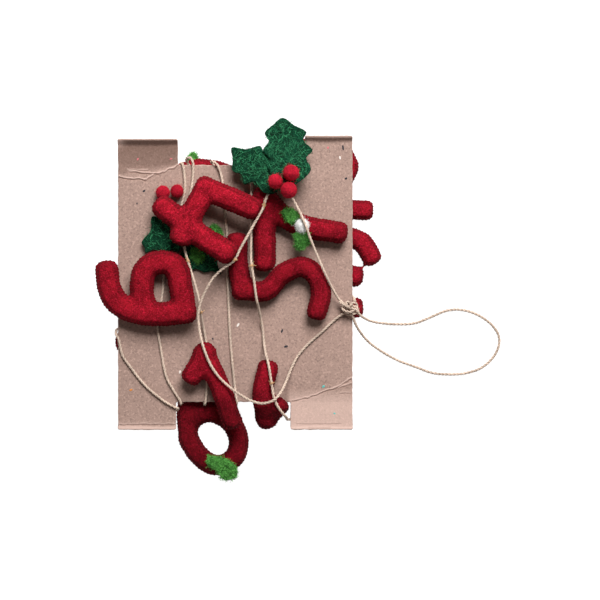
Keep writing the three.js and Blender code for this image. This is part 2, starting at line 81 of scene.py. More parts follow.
# The twine, as points along its middle: the run round the board, the bow and the hanging loop.
WOUND_ROUTE = [
    (96.0, -14.0, 24.0), (95.2, -13.5, 20.9), (95.7, -12.4, 18.75), (95.2, -11.3, 16.6),
    (93.6, -10.0, 16.3), (88.0, -0.4, 16.35), (72.0, 22.8, 16.35), (56.0, 49.2, 16.35),
    (40.0, 80.4, 16.35), (18.4, 89.2, 16.35), (14.6, 94.4, 16.3), (14.2, 96.0, 16.6),
    (13.9, 96.5, 18.75), (13.6, 96.0, 20.9), (13.3, 94.4, 21.2), (13.2, 74.8, 25.0),
    (13.2, 57.2, 30.5), (13.2, 34.8, 33.0), (13.4, 17.2, 35.0), (15.6, 2.8, 37.2),
    (17.6, -12.4, 36.8), (19.6, -22.0, 29.5), (22.0, -35.6, 21.8), (23.2, -46.8, 22.6),
    (24.8, -55.6, 30.5), (26.8, -62.8, 36.4), (29.2, -77.2, 37.0), (31.2, -89.2, 36.8),
    (33.9, -96.4, 37.0), (37.0, -101.2, 36.5), (39.4, -104.4, 33.8), (41.0, -106.6, 28.0),
    (41.6, -108.2, 21.5), (41.9, -108.9, 17.2), (44.2, -108.9, 16.3), (48.8, -102.8, 16.35),
    (44.0, -58.0, 16.35), (21.6, -13.2, 16.35), (4.0, 38.8, 16.35), (-12.8, 89.2, 16.35),
    (-16.4, 93.6, 16.3), (-18.2, 96.2, 16.5), (-19.0, 97.4, 18.8), (-18.1, 97.7, 21.4),
    (-14.4, 95.1, 22.3), (-11.2, 86.8, 21.5), (-9.2, 74.8, 21.1), (-8.0, 58.8, 21.1),
    (-6.4, 38.8, 21.1), (-6.4, 17.2, 21.1), (-5.2, -13.2, 21.1), (-4.0, -41.2, 21.1),
    (-1.6, -69.2, 21.1), (0.8, -90.0, 21.1), (1.6, -94.4, 21.2), (1.3, -96.0, 20.9),
    (1.0, -96.5, 18.75), (0.6, -96.0, 16.6), (0.3, -94.4, 16.3), (-2.4, -89.2, 16.35),
    (-7.2, -77.2, 16.35), (-23.2, -13.2, 16.35), (-28.8, 38.8, 16.35), (-33.6, 86.0, 16.35),
    (-36.0, 92.7, 16.3), (-37.9, 96.2, 16.5), (-39.0, 98.5, 18.8), (-38.2, 100.2, 21.6),
    (-35.7, 100.4, 22.8), (-33.9, 97.7, 22.7), (-33.4, 92.4, 21.5), (-34.0, 82.8, 21.1),
    (-36.4, 66.0, 23.4), (-38.8, 54.8, 26.7), (-40.3, 39.6, 26.9), (-39.7, 27.6, 27.8),
    (-37.1, 18.0, 30.4), (-31.7, 0.4, 30.6), (-28.6, -11.6, 30.6), (-27.2, -22.0, 29.5),
    (-25.2, -34.0, 24.0), (-23.2, -46.8, 21.1), (-22.0, -65.2, 21.1), (-22.4, -83.6, 21.1),
    (-23.5, -94.4, 21.2), (-23.9, -96.0, 20.9), (-24.2, -96.5, 18.75), (-24.6, -96.0, 16.6),
    (-25.0, -94.4, 16.3), (-28.0, -88.4, 16.35), (-37.6, -61.2, 16.35), (-48.8, -5.2, 16.35),
    (-47.2, 42.8, 16.35), (-44.8, 82.8, 16.35), (-44.0, 94.4, 16.3), (-43.4, 96.0, 16.6),
    (-42.8, 96.5, 18.75), (-42.2, 96.0, 20.9), (-41.6, 94.4, 21.2), (-40.0, 76.4, 21.1),
    (-44.0, 58.8, 21.1), (-50.4, 36.4, 21.1), (-55.6, 14.8, 21.1), (-58.0, -7.6, 21.1),
    (-61.6, -33.2, 21.1), (-58.8, -54.8, 21.1), (-54.8, -74.8, 21.1), (-49.2, -85.2, 21.1),
    (-43.5, -94.4, 21.2), (-43.4, -96.0, 20.9), (-43.2, -96.5, 18.75), (-43.0, -96.0, 16.6),
    (-42.9, -94.4, 16.3), (-48.8, -86.8, 16.35), (-68.0, -66.0, 16.35), (-87.2, -43.6, 16.35),
    (-93.2, -36.4, 16.3), (-94.8, -36.8, 16.6), (-95.2, -38.8, 18.75), (-94.8, -41.2, 20.9),
    (-93.2, -44.0, 21.2), (-89.6, -58.0, 21.1), (-84.0, -66.0, 21.1), (-72.8, -80.4, 21.1),
    (-60.0, -91.6, 21.1), (-52.8, -96.4, 21.3), (-47.6, -99.0, 21.5), (-46.0, -99.6, 21.2),
    (-45.6, -100.4, 19.0), (-46.0, -101.2, 16.8), (-47.6, -101.7, 16.5), (-52.8, -101.8, 16.5),
]
BOW_ROUTE = [
    (86.7, -23.8, 23.4), (80.8, -28.0, 21.6), (69.6, -38.4, 21.1), (57.6, -49.2, 21.1),
    (49.6, -58.8, 21.6), (44.4, -69.2, 24.0), (40.8, -78.4, 30.5), (36.8, -86.0, 37.3),
    (31.6, -92.0, 39.7), (23.2, -94.8, 39.5), (13.6, -92.8, 38.4), (4.0, -87.6, 37.8),
    (-4.0, -81.6, 38.2), (-11.2, -74.8, 39.1), (-17.6, -66.0, 39.5), (-22.4, -55.6, 39.4),
    (-25.8, -45.2, 37.0), (-27.8, -34.8, 35.0), (-28.6, -24.4, 34.6), (-26.8, -15.6, 35.0),
    (-22.4, -5.2, 35.4), (-16.4, 4.4, 36.2), (-9.2, 11.2, 38.4), (-0.2, 17.8, 40.2),
    (5.2, 27.6, 41.0), (11.0, 38.0, 41.2), (16.8, 48.4, 40.8), (22.4, 58.4, 39.8),
    (24.8, 65.6, 38.4), (27.6, 71.6, 37.4), (32.8, 75.6, 37.2), (39.2, 74.4, 37.4),
    (44.8, 68.8, 38.6), (49.2, 61.2, 41.0), (53.2, 53.2, 43.4), (56.6, 44.8, 44.1),
    (60.0, 35.6, 41.5), (64.0, 25.6, 38.8), (68.8, 14.4, 37.4), (74.0, 3.2, 35.2),
    (78.8, -6.0, 29.8), (83.2, -12.8, 25.6), (87.2, -16.4, 24.4),
]
LOOP_ROUTE = [
    (97.1, -22.4, 23.0), (100.4, -25.6, 19.5), (105.6, -28.8, 13.0), (112.0, -31.0, 6.5),
    (120.8, -32.2, 2.3), (133.6, -32.8, 1.3), (145.6, -31.8, 1.3), (157.6, -27.2, 1.3),
    (169.6, -22.2, 1.3), (178.4, -20.9, 1.3), (188.8, -22.4, 1.3), (199.2, -27.0, 1.3),
    (208.0, -34.0, 1.3), (213.2, -42.8, 1.3), (212.4, -52.4, 1.3), (206.8, -61.6, 1.3),
    (197.6, -68.8, 1.3), (186.4, -72.4, 1.3), (173.6, -73.4, 1.3), (159.2, -72.2, 1.3),
    (146.4, -67.6, 1.3), (131.2, -62.0, 1.3), (118.4, -55.0, 2.6), (108.0, -47.6, 8.0),
    (100.8, -39.6, 15.0), (96.4, -32.4, 20.5), (93.9, -25.8, 23.2),
]

# Where each numeral lies: its strokes, x, y, turn in degrees, and the height of its middle at places
# along its own upright, as (distance up the numeral, height).
NUMERALS = {
    "numeral_8": ("8", 61.6, 94.2, -90, [(0, 7.5)]),
    "numeral_0_upper": ("0", -24.0, 73.6, 82, [(0, 7.5)]),
    "numeral_3": ("3", 85.0, 9.0, 165, [(0, 7.5)]),
    "numeral_0_left": ("0", -59.6, -47.6, 88, [(0, 7.5)]),
    "numeral_1_right": ("1", 74.8, 59.2, 90, [(0, 7.5)]),
    "numeral_2": ("2", -52.0, 11.6, 90, [(0, 7.5)]),
    "numeral_1_middle": ("1", 38.4, -58.0, -90, [(0, 7.5)]),
    "numeral_6": ("6", -18.4, -119.6, 0, [(0, 7.5)]),
    "numeral_7": ("7", 51.8, 42.8, 90, [(0, 27.8)]),
    "numeral_5": ("5", 36.0, 5.2, 90, [(0, 27.8)]),
    "numeral_1_short": ("1 short", 24.0, -88.4, 180, [(11, 27.9), (20, 21)]),
    "numeral_1_long": ("1", -13.6, -82.0, 23, [(-30, 27), (-10, 29.8), (30, 30.2)]),
    "numeral_4": ("4", -22.4, 56.4, -119, [(-38, 33.0), (38, 41.3)]),
    "numeral_9": ("9", -69.6, -6.0, -87, [(-38, 28.8), (23, 31.6), (38, 32)]),
}

# The folds of the board's ears: x from, x to, y of the fold, y of the end, bend in degrees,
# how far the outer lip curls up in degrees, the lip's width, and how much painted shade lies on
# the lip (below nought, painted light).
EARS = [
    (-93.6, -45.6, 94.8, 116.4, 8, 26, 6.0, 0.7),
    (56.0, 94.0, 94.8, 118.8, 2, 28, 6.0, 0.78),
    (-93.6, -47.2, -94.8, -117.2, 2, 14, 4.4, -0.7),
    (44.4, 94.0, -94.8, -117.2, 11, 8, 4.4, -0.9),
]
# Creases of the board: depth, and the points each runs through.
CREASES = [
    (0.5, [
        (-84.6, 89.4), (-78.6, 88.7), (-67.6, 87.7), (-59.0, 88.2), (-53.9, 90.7), (-48.8, 92.4),
        (-44.6, 95.2),
    ]),
    (0.5, [(-93.6, 84.7), (-83.8, 83.4), (-77.0, 83.4), (-71.0, 82.6), (-67.6, 84.7), (-65.0, 87.2)]),
    (0.28, [(-86.0, 90.6), (-70.0, 90.2)]),
    (0.5, [
        (44.0, -94.6), (49.5, -93.7), (59.5, -91.4), (71.4, -86.3), (80.6, -83.6), (85.1, -81.8),
        (94.0, -75.8),
    ]),
    (0.36, [(82.4, -84.1), (94.0, -80.2)]),
    (0.26, [(84.2, -88.6), (94.0, -87.7)]),
    (0.22, [(49.5, -112.9), (84.2, -112.6)]),
    (0.24, [(-93.4, -113.4), (-47.4, -113.0)]),
]
# Flecks in the board's recycled pulp: finish, x, y, length, width, turn.
FLECKS = [
    ("ink", 37.6, -38.0, 2.2, 1.0, 70),
    ("ink", 40.8, -50.4, 2.4, 1.2, 20),
    ("ink", -28.8, -78.0, 2.2, 1.1, 140),
    ("ink", -72.8, 74.0, 1.6, 1.1, 35),
    ("ink", -78.4, 64.0, 1.2, 0.7, 80),
    ("ink", 86.4, 108.8, 3.2, 1.0, 95),
    ("ink", 88.8, 84.0, 1.5, 1.2, 30),
    ("ink", -17.8, -44.2, 1.3, 0.9, 120),
    ("ink", -56.6, -66.0, 1.0, 0.6, 10),
    ("teal", 70.8, -82.4, 1.8, 1.2, 40),
    ("teal", 79.6, -104.0, 1.4, 1.0, 140),
    ("pale", 2.4, -33.2, 2.4, 1.1, 60),
    ("pale", -84.0, -66.8, 1.8, 0.9, 50),
    ("pale", -44.0, -70.8, 1.8, 1.2, 80),
    ("pale", 84.0, 100.6, 1.9, 1.0, 100),
    ("ochre", -83.2, -85.2, 1.9, 1.1, 25),
    ("rose", -77.6, 99.6, 1.8, 0.9, 60),
    ("rose", -51.2, 99.6, 1.6, 0.8, 20),
    ("rose", 74.4, 108.6, 1.3, 1.0, 75),
]
# Where thread ties a piece to the twine: x, y, z.
TIES = [
    (22.0, 62.0, 41.2),
    (-3.0, 21.6, 40.6),
    (13.6, 14.0, 36.6),
    (-38.0, 18.0, 30.4),
    (-29.4, -23.4, 29.6),
    (29.6, -79.0, 37.4),
]


def oval(cx, cy, rx, ry, start, end, steps):
    """Points along part of an oval, between two angles in degrees."""
    angles = [math.radians(start + (end - start) * i / steps) for i in range(steps + 1)]
    return [(cx + rx * math.cos(a), cy + ry * math.sin(a)) for a in angles]


# Centrelines of the strokes of each numeral, upright, from its middle.
STROKES = {
    "0": [oval(0, 0, 19, 28.5, -90, 90, 6), oval(0, 0, 19, 28.5, 90, 270, 6)],
    "1": [[(1, 28), (2, 0), (0, -28)], [(1, 28), (-14, 17)]],
    "2": [
        [(-19, 14), (-14, 26), (0, 29), (17, 21), (14, 4), (-2, -13), (-18, -28)],
        [(-18, -28), (20, -28)],
    ],
    "3": [
        [(-17, 25), (0, 29), (16, 20), (12, 5), (-10, 0)],
        [(-10, 0), (15, -5), (20, -17), (8, -28), (-10, -28), (-19, -20)],
    ],
    "4": [
        [(20, 28), (18, 0), (13, -30)],
        [(-20, 28), (-18, 9), (-16, -9)],
        [(-16, -9), (6, -9), (24, -8)],
    ],
    "5": [
        [(27, 34), (9, 33), (-10, 30)],
        [(-10, 30), (-11, 11), (2, -2), (8, -18), (0, -29), (-15, -33), (-26, -30)],
    ],
    "6": [
        [(-19, -6), (-21, 12), (-19, 25), (-11, 34), (8, 36)],
        [(-19, -6), (-12, -18), (2, -27), (16, -22), (21, -10), (18, 3), (8, 13), (-5, 16), (-19, 9)],
    ],
    "7": [[(26, 28), (1, 28), (-24, 28)], [(26, 28), (13, 16), (3, -2), (-2, -29)]],
    "8": [
        oval(0, 16, 13, 13, -90, 90, 5),
        oval(0, 16, 13, 13, 90, 270, 5),
        oval(0, -13, 15.5, 15.5, -90, 90, 6),
        oval(0, -13, 15.5, 15.5, 90, 270, 6),
    ],
    "9": [
        [(18, 29), (19, 9), (16, -10), (8, -24), (-4, -30), (-16, -31)],
        [(18, 29), (-3, 27), (-19, 23), (-22, 9), (-16, -1), (-1, -4), (17, -2)],
    ],
    "1 short": [[(-2, -19), (2, -3), (1, 8), (-1, 19)], [(-1, 19), (-10, 10)]],
}


def place(x, y, z=0.0):
    """A point of the tables in the frame of the part, in metres."""
    return Vector((ORIGIN_X + x * MM, ORIGIN_Y + y * MM, z * MM))


def on_plan(points):
    """Where points of the part lie on the plan of the tables, in millimetres."""
    return (points[:, :2] - np.array([ORIGIN_X, ORIGIN_Y])) / MM


def linear(screen):
    """A colour from 0-255 screen numbers as the shader wants it, by the sRGB curve."""
    parts = [c / 255 for c in screen]
    return tuple(c / 12.92 if c <= 0.04045 else ((c + 0.055) / 1.055) ** 2.4 for c in parts) + (1.0,)


def shade(name, description, value):
    return bpy.props.FloatVectorProperty(
        name=name, description=description, subtype="COLOR", size=4, min=0, max=1, default=linear(value)
    )


def length(name, description, millimetres, least):
    return bpy.props.FloatProperty(
        name=name, description=description, default=millimetres * MM, min=least * MM, unit="LENGTH"
    )


class GarlandColours(bpy.types.PropertyGroup):
    """The colours of the felt, wool, board and twine."""

    red: shade("Red felt", "Felt of the numerals", (133, 16, 29))
    berry: shade("Berry wool", "Wool of the holly berries", (174, 25, 45))
    holly: shade("Holly felt", "Felt of the holly leaves", (10, 55, 37))
    holly_hair: shade("Holly hairs", "Light hairs on the holly felt", (50, 122, 82))
    mistletoe: shade("Mistletoe wool", "Wool of the mistletoe leaves", (72, 130, 58))
    white: shade("White wool", "Wool of the mistletoe berry", (250, 250, 246))
    board: shade("Board", "Pulp of the winding board", (159, 133, 122))
    twine: shade("Twine", "Jute twine", (204, 183, 166))
    thread: shade("Thread", "Thread that ties the pieces to the twine", (214, 172, 128))


class GarlandSizes(bpy.types.PropertyGroup):
    """The sizes that a maker would change."""

    stitch_step: length("Stitch step", "Distance between whip stitches along a seam", 2.8, 1)
    thread_width: length("Thread", "Width of the sewing thread", 0.55, 0.1)
    felt_cell: length("Felt cell", "Size of a facet of the padded numerals", 1.05, 0.5)
    twine_pitch: length("Twine pitch", "Length of one turn of the twine's plies", 6, 1)
    camera_height: length("Camera height", "Height of the camera above the board", 1450, 300)
    hairs: bpy.props.IntProperty(
        name="Hairs", description="Loose wool hairs on each numeral", default=460, min=0
    )


def sizes():
    return bpy.context.scene.garland_sizes


def colour(name):
    """One of the garland's colours as a plain tuple."""
    return tuple(getattr(bpy.context.scene.garland_colours, name))


# making and keeping pieces


def link(name, mesh):
    piece = bpy.data.objects.new(name, mesh)
    bpy.context.scene.collection.objects.link(piece)
    return piece


def made_piece(name, work):
    """A piece from a finished bmesh."""
    mesh = bpy.data.meshes.new(name)
    work.to_mesh(mesh)
    work.free()
    return link(name, mesh)


def evaluated_mesh(piece):
    """A new mesh of a piece as its modifiers or its curve show it."""
    graph = bpy.context.evaluated_depsgraph_get()
    graph.update()
    return bpy.data.meshes.new_from_object(piece.evaluated_get(graph))


def settle(piece):
    """Applies a piece's modifiers to its mesh."""
    mesh = evaluated_mesh(piece)
    old = piece.data
    piece.modifiers.clear()
    piece.data = mesh
    mesh.name = piece.name
    bpy.data.meshes.remove(old)
    return piece


def shade_smooth(piece):
    piece.data.polygons.foreach_set("use_smooth", [True] * len(piece.data.polygons))


def coords(mesh):
    flat = np.empty(len(mesh.vertices) * 3)
    mesh.vertices.foreach_get("co", flat)
    return flat.reshape(-1, 3)


def set_coords(mesh, points):
    mesh.vertices.foreach_set("co", np.ascontiguousarray(points, dtype=np.float32).ravel())
    mesh.update()


def normals(mesh):
    flat = np.empty(len(mesh.vertices) * 3)
    mesh.vertex_normals.foreach_get("vector", flat)
    return flat.reshape(-1, 3)


def keep_above_floor(mesh):
    """Presses what would hang below the floor flat against it."""
    points = coords(mesh)
    points[:, 2] = np.maximum(points[:, 2], FLOOR_GAP * MM)
    set_coords(mesh, points)


def set_attribute(mesh, name, values):
    layer = mesh.attributes.new(name, "FLOAT", "POINT")
    layer.data.foreach_set("value", np.ascontiguousarray(values, dtype=np.float32))


def cad_copy(node, name):
    """A copy of a CAD solid's mesh, with its loose triangles joined."""
    work = bmesh.new()
    work.from_mesh(bpy.data.objects[node].data)
    bmesh.ops.remove_doubles(work, verts=work.verts, dist=WELD * MM)
    for face in work.faces:
        face.material_index = 0
    return made_piece(name, work)


def remesh(piece, cell, rounds):
    """Rebuilds a piece from small even facets, and softens it."""
    voxels = piece.modifiers.new("Cells", "REMESH")
    voxels.mode = "VOXEL"
    voxels.voxel_size = cell
    soften = piece.modifiers.new("Soften", "SMOOTH")
    soften.iterations = rounds
    return settle(piece)


# How far each seed shifts the noise.
NOISE_SHIFT = (3.17, 1.91, 2.53)


def noise_field(points, scale, seed):
    """Smooth random values between -1 and 1 at points, with lumps of the given size in metres."""
    shift = Vector([seed * part for part in NOISE_SHIFT])
    return np.array([noise.noise(Vector(p) / scale + shift) for p in points])


def lumps(points, layers, seed=0):
    """Sums layers of lumps, each with its size, its height and its step of the seed, in metres."""
    return sum(noise_field(points, size * MM, seed + step) * height for size, height, step in layers) * MM


def bell(distance, width):
    """1 at a line or spot, falling off over a width."""
    return np.exp(-((distance / width) ** 2))


def unit(vector):
    return vector / np.linalg.norm(vector)


def run_along(line):
    """How far along a line each of its points lies."""
    return np.concatenate([[0.0], np.cumsum(np.linalg.norm(np.diff(line, axis=0), axis=1))])


def swept(name, lines, radius, ring=0, widths=None):
    """A mesh of round strands along lines. widths gives each line's width at its points."""
    curve = bpy.data.curves.new(name, "CURVE")
    curve.dimensions = "3D"
    curve.bevel_depth = radius
    curve.bevel_resolution = ring
    curve.use_fill_caps = True
    for i, line in enumerate(lines):
        spline = curve.splines.new("POLY")
        spline.points.add(len(line) - 1)
        flat = np.ones((len(line), 4), dtype=np.float32)
        flat[:, :3] = line
        spline.points.foreach_set("co", flat.ravel())
        if widths is not None:
            spline.points.foreach_set("radius", np.asarray(widths[i], dtype=np.float32))
    drawn = link(name + "_line", curve)
    mesh = evaluated_mesh(drawn)
    bpy.data.objects.remove(drawn)
    bpy.data.curves.remove(curve)
    mesh.materials.clear()
    return mesh


def absorb(piece, mesh, slot):
    """Adds a mesh to a piece, with its faces in the given material slot."""
    work = bmesh.new()
    work.from_mesh(piece.data)
    before = len(work.faces)
    work.from_mesh(mesh)
    work.faces.ensure_lookup_table()
    for face in work.faces[before:]:
        face.material_index = slot
        face.smooth = True
    work.to_mesh(piece.data)
    work.free()
    bpy.data.meshes.remove(mesh)


def finish(piece, materials, slot, *nodes):
    """Gives a piece its materials and its body, and hides the CAD nodes that it stands for."""
    for material in materials:
        piece.data.materials.append(material)
    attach(piece, BODY)
    if nodes:
        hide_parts(*nodes)
    return piece


# materials

SHADER_INPUTS = {
    "roughness": "Roughness",
    "gloss": "Specular IOR Level",
    "sheen": "Sheen Weight",
    "sheen_roughness": "Sheen Roughness",
    "sheen_tint": "Sheen Tint",
}
# Where a soft grain starts and ends.
SOFT_START = 0.35
SOFT_END = 0.65
# The felt's fibres, lying three ways, and its pits: scale, detail, roughness, stretch and turn.
FELT_FIBRES = [
    (1250, 2.0, 0.6, (1.0, 3.4, 1.0), (0.0, 0.0, 0.6)),
    (1250, 2.0, 0.6, (1.0, 3.4, 1.0), (0.0, 0.0, 2.2)),
    (1250, 2.0, 0.6, (1.0, 1.0, 3.4), (0.4, 0.0, 0.3)),
]
FELT_PITS = (900, 4.0, 0.75)
# Layers over the board's base colour: shade, strength, where the grain starts and ends, and the
# grain's scale, detail, roughness, stretch and turn.
PULP_LAYERS = [
    (0.84, 0.25, 0.42, 0.62, 240, 4.0, 0.7),
    (0.66, 0.75, 0.52, 0.66, 560, 2.0, 0.6),
    (1.36, 0.75, 0.53, 0.66, 560, 2.0, 0.6, (1, 1, 1), (0.7, 0.4, 1.3)),
    (1.3, 0.5, 0.68, 0.74, 640, 1.0, 0.4, (1.0, 3.2, 1.0), (0, 0, 0.5)),
    (0.6, 0.5, 0.69, 0.75, 640, 1.0, 0.4, (1.0, 3.2, 1.0), (0, 0, 2.1)),
    (0.6, 0.5, 0.69, 0.75, 640, 1.0, 0.4, (1.0, 3.2, 1.0), (0, 0, 1.3)),
]
# The same for the twine.
JUTE_LAYERS = [
    (0.55, 0.8, 0.5, 0.68, 700, 3.0, 0.7),
    (1.3, 0.8, 0.54, 0.68, 900, 2.0),
]
# The board's paler marks (its cut edges, rubbed corner and lip rims, and painted highlights on crease
# ridges, the lower right ear and the lower lips), its painted shade, and the painted shade of the twine,
# as shares of the base colour.
PULP_PALE = (1.75, 1.85, 1.92)
PULP_PAINTED_SHADE = (0.36, 0.28, 0.24)
JUTE_HOLLOW = (0.3, 0.24, 0.2)
# How much brighter the nap of a strand is, and how much finer its bumps are than its tones.
NAP_BRIGHTER = 1.2
BUMPS_FINER = 6
# How each finish takes the light: the strength of its bumps and their height in millimetres, and
# inputs of the shader.
FELT_SURFACE = dict(bump=0.9, distance=0.45, roughness=0.95, gloss=0.08, sheen=0.14, sheen_roughness=0.45)
STRAND_SURFACE = dict(bump=0.4, distance=0.1, roughness=0.85, gloss=0.2, sheen_roughness=0.5)
PULP_SURFACE = dict(bump=0.5, distance=0.25, roughness=0.92, gloss=0.2, sheen=0.05, sheen_roughness=0.5)
JUTE_SURFACE = dict(bump=0.5, distance=0.12, roughness=0.88, gloss=0.15, sheen=0.1, sheen_roughness=0.5)


class Finish:
    """A node material under construction. A value may be a number, a colour or a socket."""

    def __init__(self, name):
        self.material = bpy.data.materials.new(name)
        self.material.use_nodes = True
        self.shader = self.material.node_tree.nodes["Principled BSDF"]
        self.place = self.node("TexCoord", {}).outputs["Object"]

    def put(self, socket, value):
        if hasattr(value, "links"):
            self.material.node_tree.links.new(value, socket)
        else:
            socket.default_value = value

    def node(self, kind, inputs, **settings):
        """Adds a node with its settings, and its inputs by name or number."""
        node = self.material.node_tree.nodes.new("ShaderNode" + kind)
        for key, value in settings.items():
            setattr(node, key, value)
        for key, value in inputs.items():
            self.put(node.inputs[key], value)
        return node

    def grain(self, scale, detail=4.0, roughness=0.6, stretch=None, turn=(0, 0, 0)):
        """Noise, or fibres if it is stretched."""
        spot = self.place
        if stretch:
            turned = {"Vector": spot, "Scale": stretch, "Rotation": turn}
            spot = self.node("Mapping", turned, vector_type="TEXTURE").outputs["Vector"]
        texture = {"Vector": spot, "Scale": scale, "Detail": detail, "Roughness": roughness}
        return self.node("TexNoise", texture).outputs["Fac"]

    def attribute(self, name):
        return self.node("Attribute", {}, attribute_name=name).outputs["Fac"]

    def ramp(self, source, low, high, start, end):
        """Turns a grain into a number from low to high."""
        bounds = {"Value": source, "From Min": start, "From Max": end, "To Min": low, "To Max": high}
        return self.node("MapRange", bounds, interpolation_type="SMOOTHSTEP").outputs["Result"]

    def plus(self, a, b):
        return self.node("Math", {0: a, 1: b}, operation="ADD").outputs["Value"]

    def stronger(self, tone, factor):
        """A colour times a number."""
        scale = {"Vector": tone, "Scale": factor}
        return self.node("VectorMath", scale, operation="SCALE").outputs["Vector"]

    def mix(self, factor, a, b):
        """Blends two colours."""
        node = self.node("Mix", {"Factor": factor}, data_type="RGBA")
        first, second = (s for s in node.inputs if s.type == "RGBA")
        self.put(first, a)
        self.put(second, b)
        return next(s for s in node.outputs if s.type == "RGBA")

    def clouds(self, base, dark, light, scale, detail=4.0, start=SOFT_START, end=SOFT_END):
        """A base colour that goes from dark to light with a grain."""
        share = self.ramp(self.grain(scale, detail), 0.0, 1.0, start, end)
        return self.mix(share, scaled(base, dark), scaled(base, light))

    def layers(self, tone, base, rows):
        """Lays shades of a base colour over a tone, each where its own grain is high."""
        for factor, strength, start, end, *grain in rows:
            share = self.ramp(self.grain(*grain), 0.0, strength, start, end)
            tone = self.mix(share, tone, scaled(base, factor))
        return tone

    def surface(self, tone, height, bump, distance, **inputs):
        """Wires up the colour and the bumps, sets the rest of the shader and returns the material."""
        self.put(self.shader.inputs["Base Color"], tone)
        bumps = self.node("Bump", {"Height": height, "Strength": bump, "Distance": distance * MM})
        self.put(self.shader.inputs["Normal"], bumps.outputs["Normal"])
        for name, value in inputs.items():
            self.put(self.shader.inputs[SHADER_INPUTS[name]], value)
        return self.material


def scaled(base, factor):
    """A colour times a number, or times a number for each of its parts."""
    factors = factor if isinstance(factor, tuple) else (factor,) * 3
    return tuple(min(1.0, c * f) for c, f in zip(base, factors)) + (1.0,)


def felt_finish(name, base, light, dark, tint, seam=False):
    """Pressed wool felt: cloudy colour, crossed fibres, small pits and a soft nap."""
    felt = Finish(name)
    tone = felt.clouds(base, dark=0.76, light=1.26, scale=95, detail=3.0, start=0.34, end=0.66)
    fibres = [felt.grain(*row) for row in FELT_FIBRES]
    for strands in fibres:
        tone = felt.mix(felt.ramp(strands, low=0.0, high=0.62, start=0.56, end=0.69), tone, light)
    pits = felt.grain(*FELT_PITS)
    tone = felt.mix(felt.ramp(pits, low=0.0, high=0.75, start=0.49, end=0.65), tone, dark)
    if seam:
        # Painted shade in the seam, round the stitches and in their holes.
        tone = felt.mix(felt.attribute("seam"), tone, dark)
        # Painted light and shade of each piece, with painted shade on its sides and below the board.
        tone = felt.stronger(tone, felt.attribute("tone"))
    hollow = felt.ramp(pits, low=1.0, high=0.0, start=0.4, end=0.66)
    height = felt.plus(hollow, felt.plus(fibres[0], fibres[1]))
    return felt.surface(tone, height, sheen_tint=tint, **FELT_SURFACE)


def strand_finish(name, base, light, dark, scale, sheen=0.2):
    """Spun or loose fibres, with a little change of tone along them."""
    strand = Finish(name)
    tone = strand.clouds(base, dark, light, scale)
    height = strand.grain(scale * BUMPS_FINER, detail=3.0)
    tint = scaled(base, NAP_BRIGHTER)
    return strand.surface(tone, height, sheen=sheen, sheen_tint=tint, **STRAND_SURFACE)


def board_finish():
    """Grey-brown recycled pulp: mottled, speckled and hairy, with soft edges, and painted shade and
    light on its creases, ears and lips.
    """
    base = colour("board")
    pulp = Finish("winding_board_pulp")
    tone = pulp.clouds(base, dark=0.94, light=1.05, scale=28, detail=3.0)
    tone = pulp.layers(tone, base, PULP_LAYERS)
    # Painted shade: the crease valleys, the lips of the upper ears and the upper left ear.
    tone = pulp.mix(pulp.attribute("worn"), tone, scaled(base, PULP_PAINTED_SHADE))
    # Paler rims and corner, and painted light on crease ridges, the lower right ear and the lower lips.
    tone = pulp.mix(pulp.attribute("pale"), tone, scaled(base, PULP_PALE))
    coarse = pulp.grain(scale=420, detail=5.0, roughness=0.7)
    height = pulp.plus(coarse, pulp.grain(scale=900, detail=3.0))
    return pulp.surface(tone, height, **PULP_SURFACE)


def twine_finish():
    """Jute: straw-coloured, with dark and light fibres, and painted shade under and between the plies."""
    found = bpy.data.materials.get("jute_twine")
    if found:
        return found
    base = colour("twine")
    jute = Finish("jute_twine")
    tone = jute.clouds(base, dark=0.82, light=1.14, scale=90, detail=3.0)
    tone = jute.layers(tone, base, JUTE_LAYERS)
    # Painted shade under the twine and between its plies.
    tone = jute.mix(jute.attribute("hollow"), tone, scaled(base, JUTE_HOLLOW))
    height = jute.grain(scale=2600, detail=3.0)
    tint = scaled(base, NAP_BRIGHTER)
    return jute.surface(tone, height, sheen_tint=tint, **JUTE_SURFACE)


# lines and hairs

# How many straight runs a hair has, and for a hair that stays inside a face, how far along it is
# checked and how many millimetres off the felt it may be there.
HAIR_STEPS = 2
INSIDE_SHARE = 0.8
OFF_FELT = 0.8


def smooth_line(points, step):
    """A smooth line in the frame of the part through points of a table."""
    return smooth_curve(np.array([place(*q) for q in points]), step)


def smooth_curve(p, step):
    """Points about every step along the smooth curve that passes through the given ones."""
    ends = np.vstack([2 * p[0] - p[1], p, 2 * p[-1] - p[-2]])
    found = []
    for i in range(1, len(ends) - 2):
        p0, p1, p2, p3 = ends[i - 1 : i + 3]
        t1 = np.linalg.norm(p1 - p0) ** 0.5
        t2 = t1 + np.linalg.norm(p2 - p1) ** 0.5
        t3 = t2 + np.linalg.norm(p3 - p2) ** 0.5
        count = max(2, math.ceil(np.linalg.norm(p2 - p1) / step))
        t = np.linspace(t1, t2, count, endpoint=False)[:, None]
        a1 = (t1 - t) / t1 * p0 + t / t1 * p1
        a2 = (t2 - t) / (t2 - t1) * p1 + (t - t1) / (t2 - t1) * p2
        a3 = (t3 - t) / (t3 - t2) * p2 + (t - t2) / (t3 - t2) * p3
        b1 = (t2 - t) / t2 * a1 + t / t2 * a2
        b2 = (t3 - t) / (t3 - t1) * a2 + (t - t1) / (t3 - t1) * a3
        found.append((t2 - t) / (t2 - t1) * b1 + (t - t1) / (t2 - t1) * b2)
    found.append(p[-1:])
    return np.vstack(found)


def line_length(line):
    return float(np.linalg.norm(np.diff(line, axis=0), axis=1).sum())


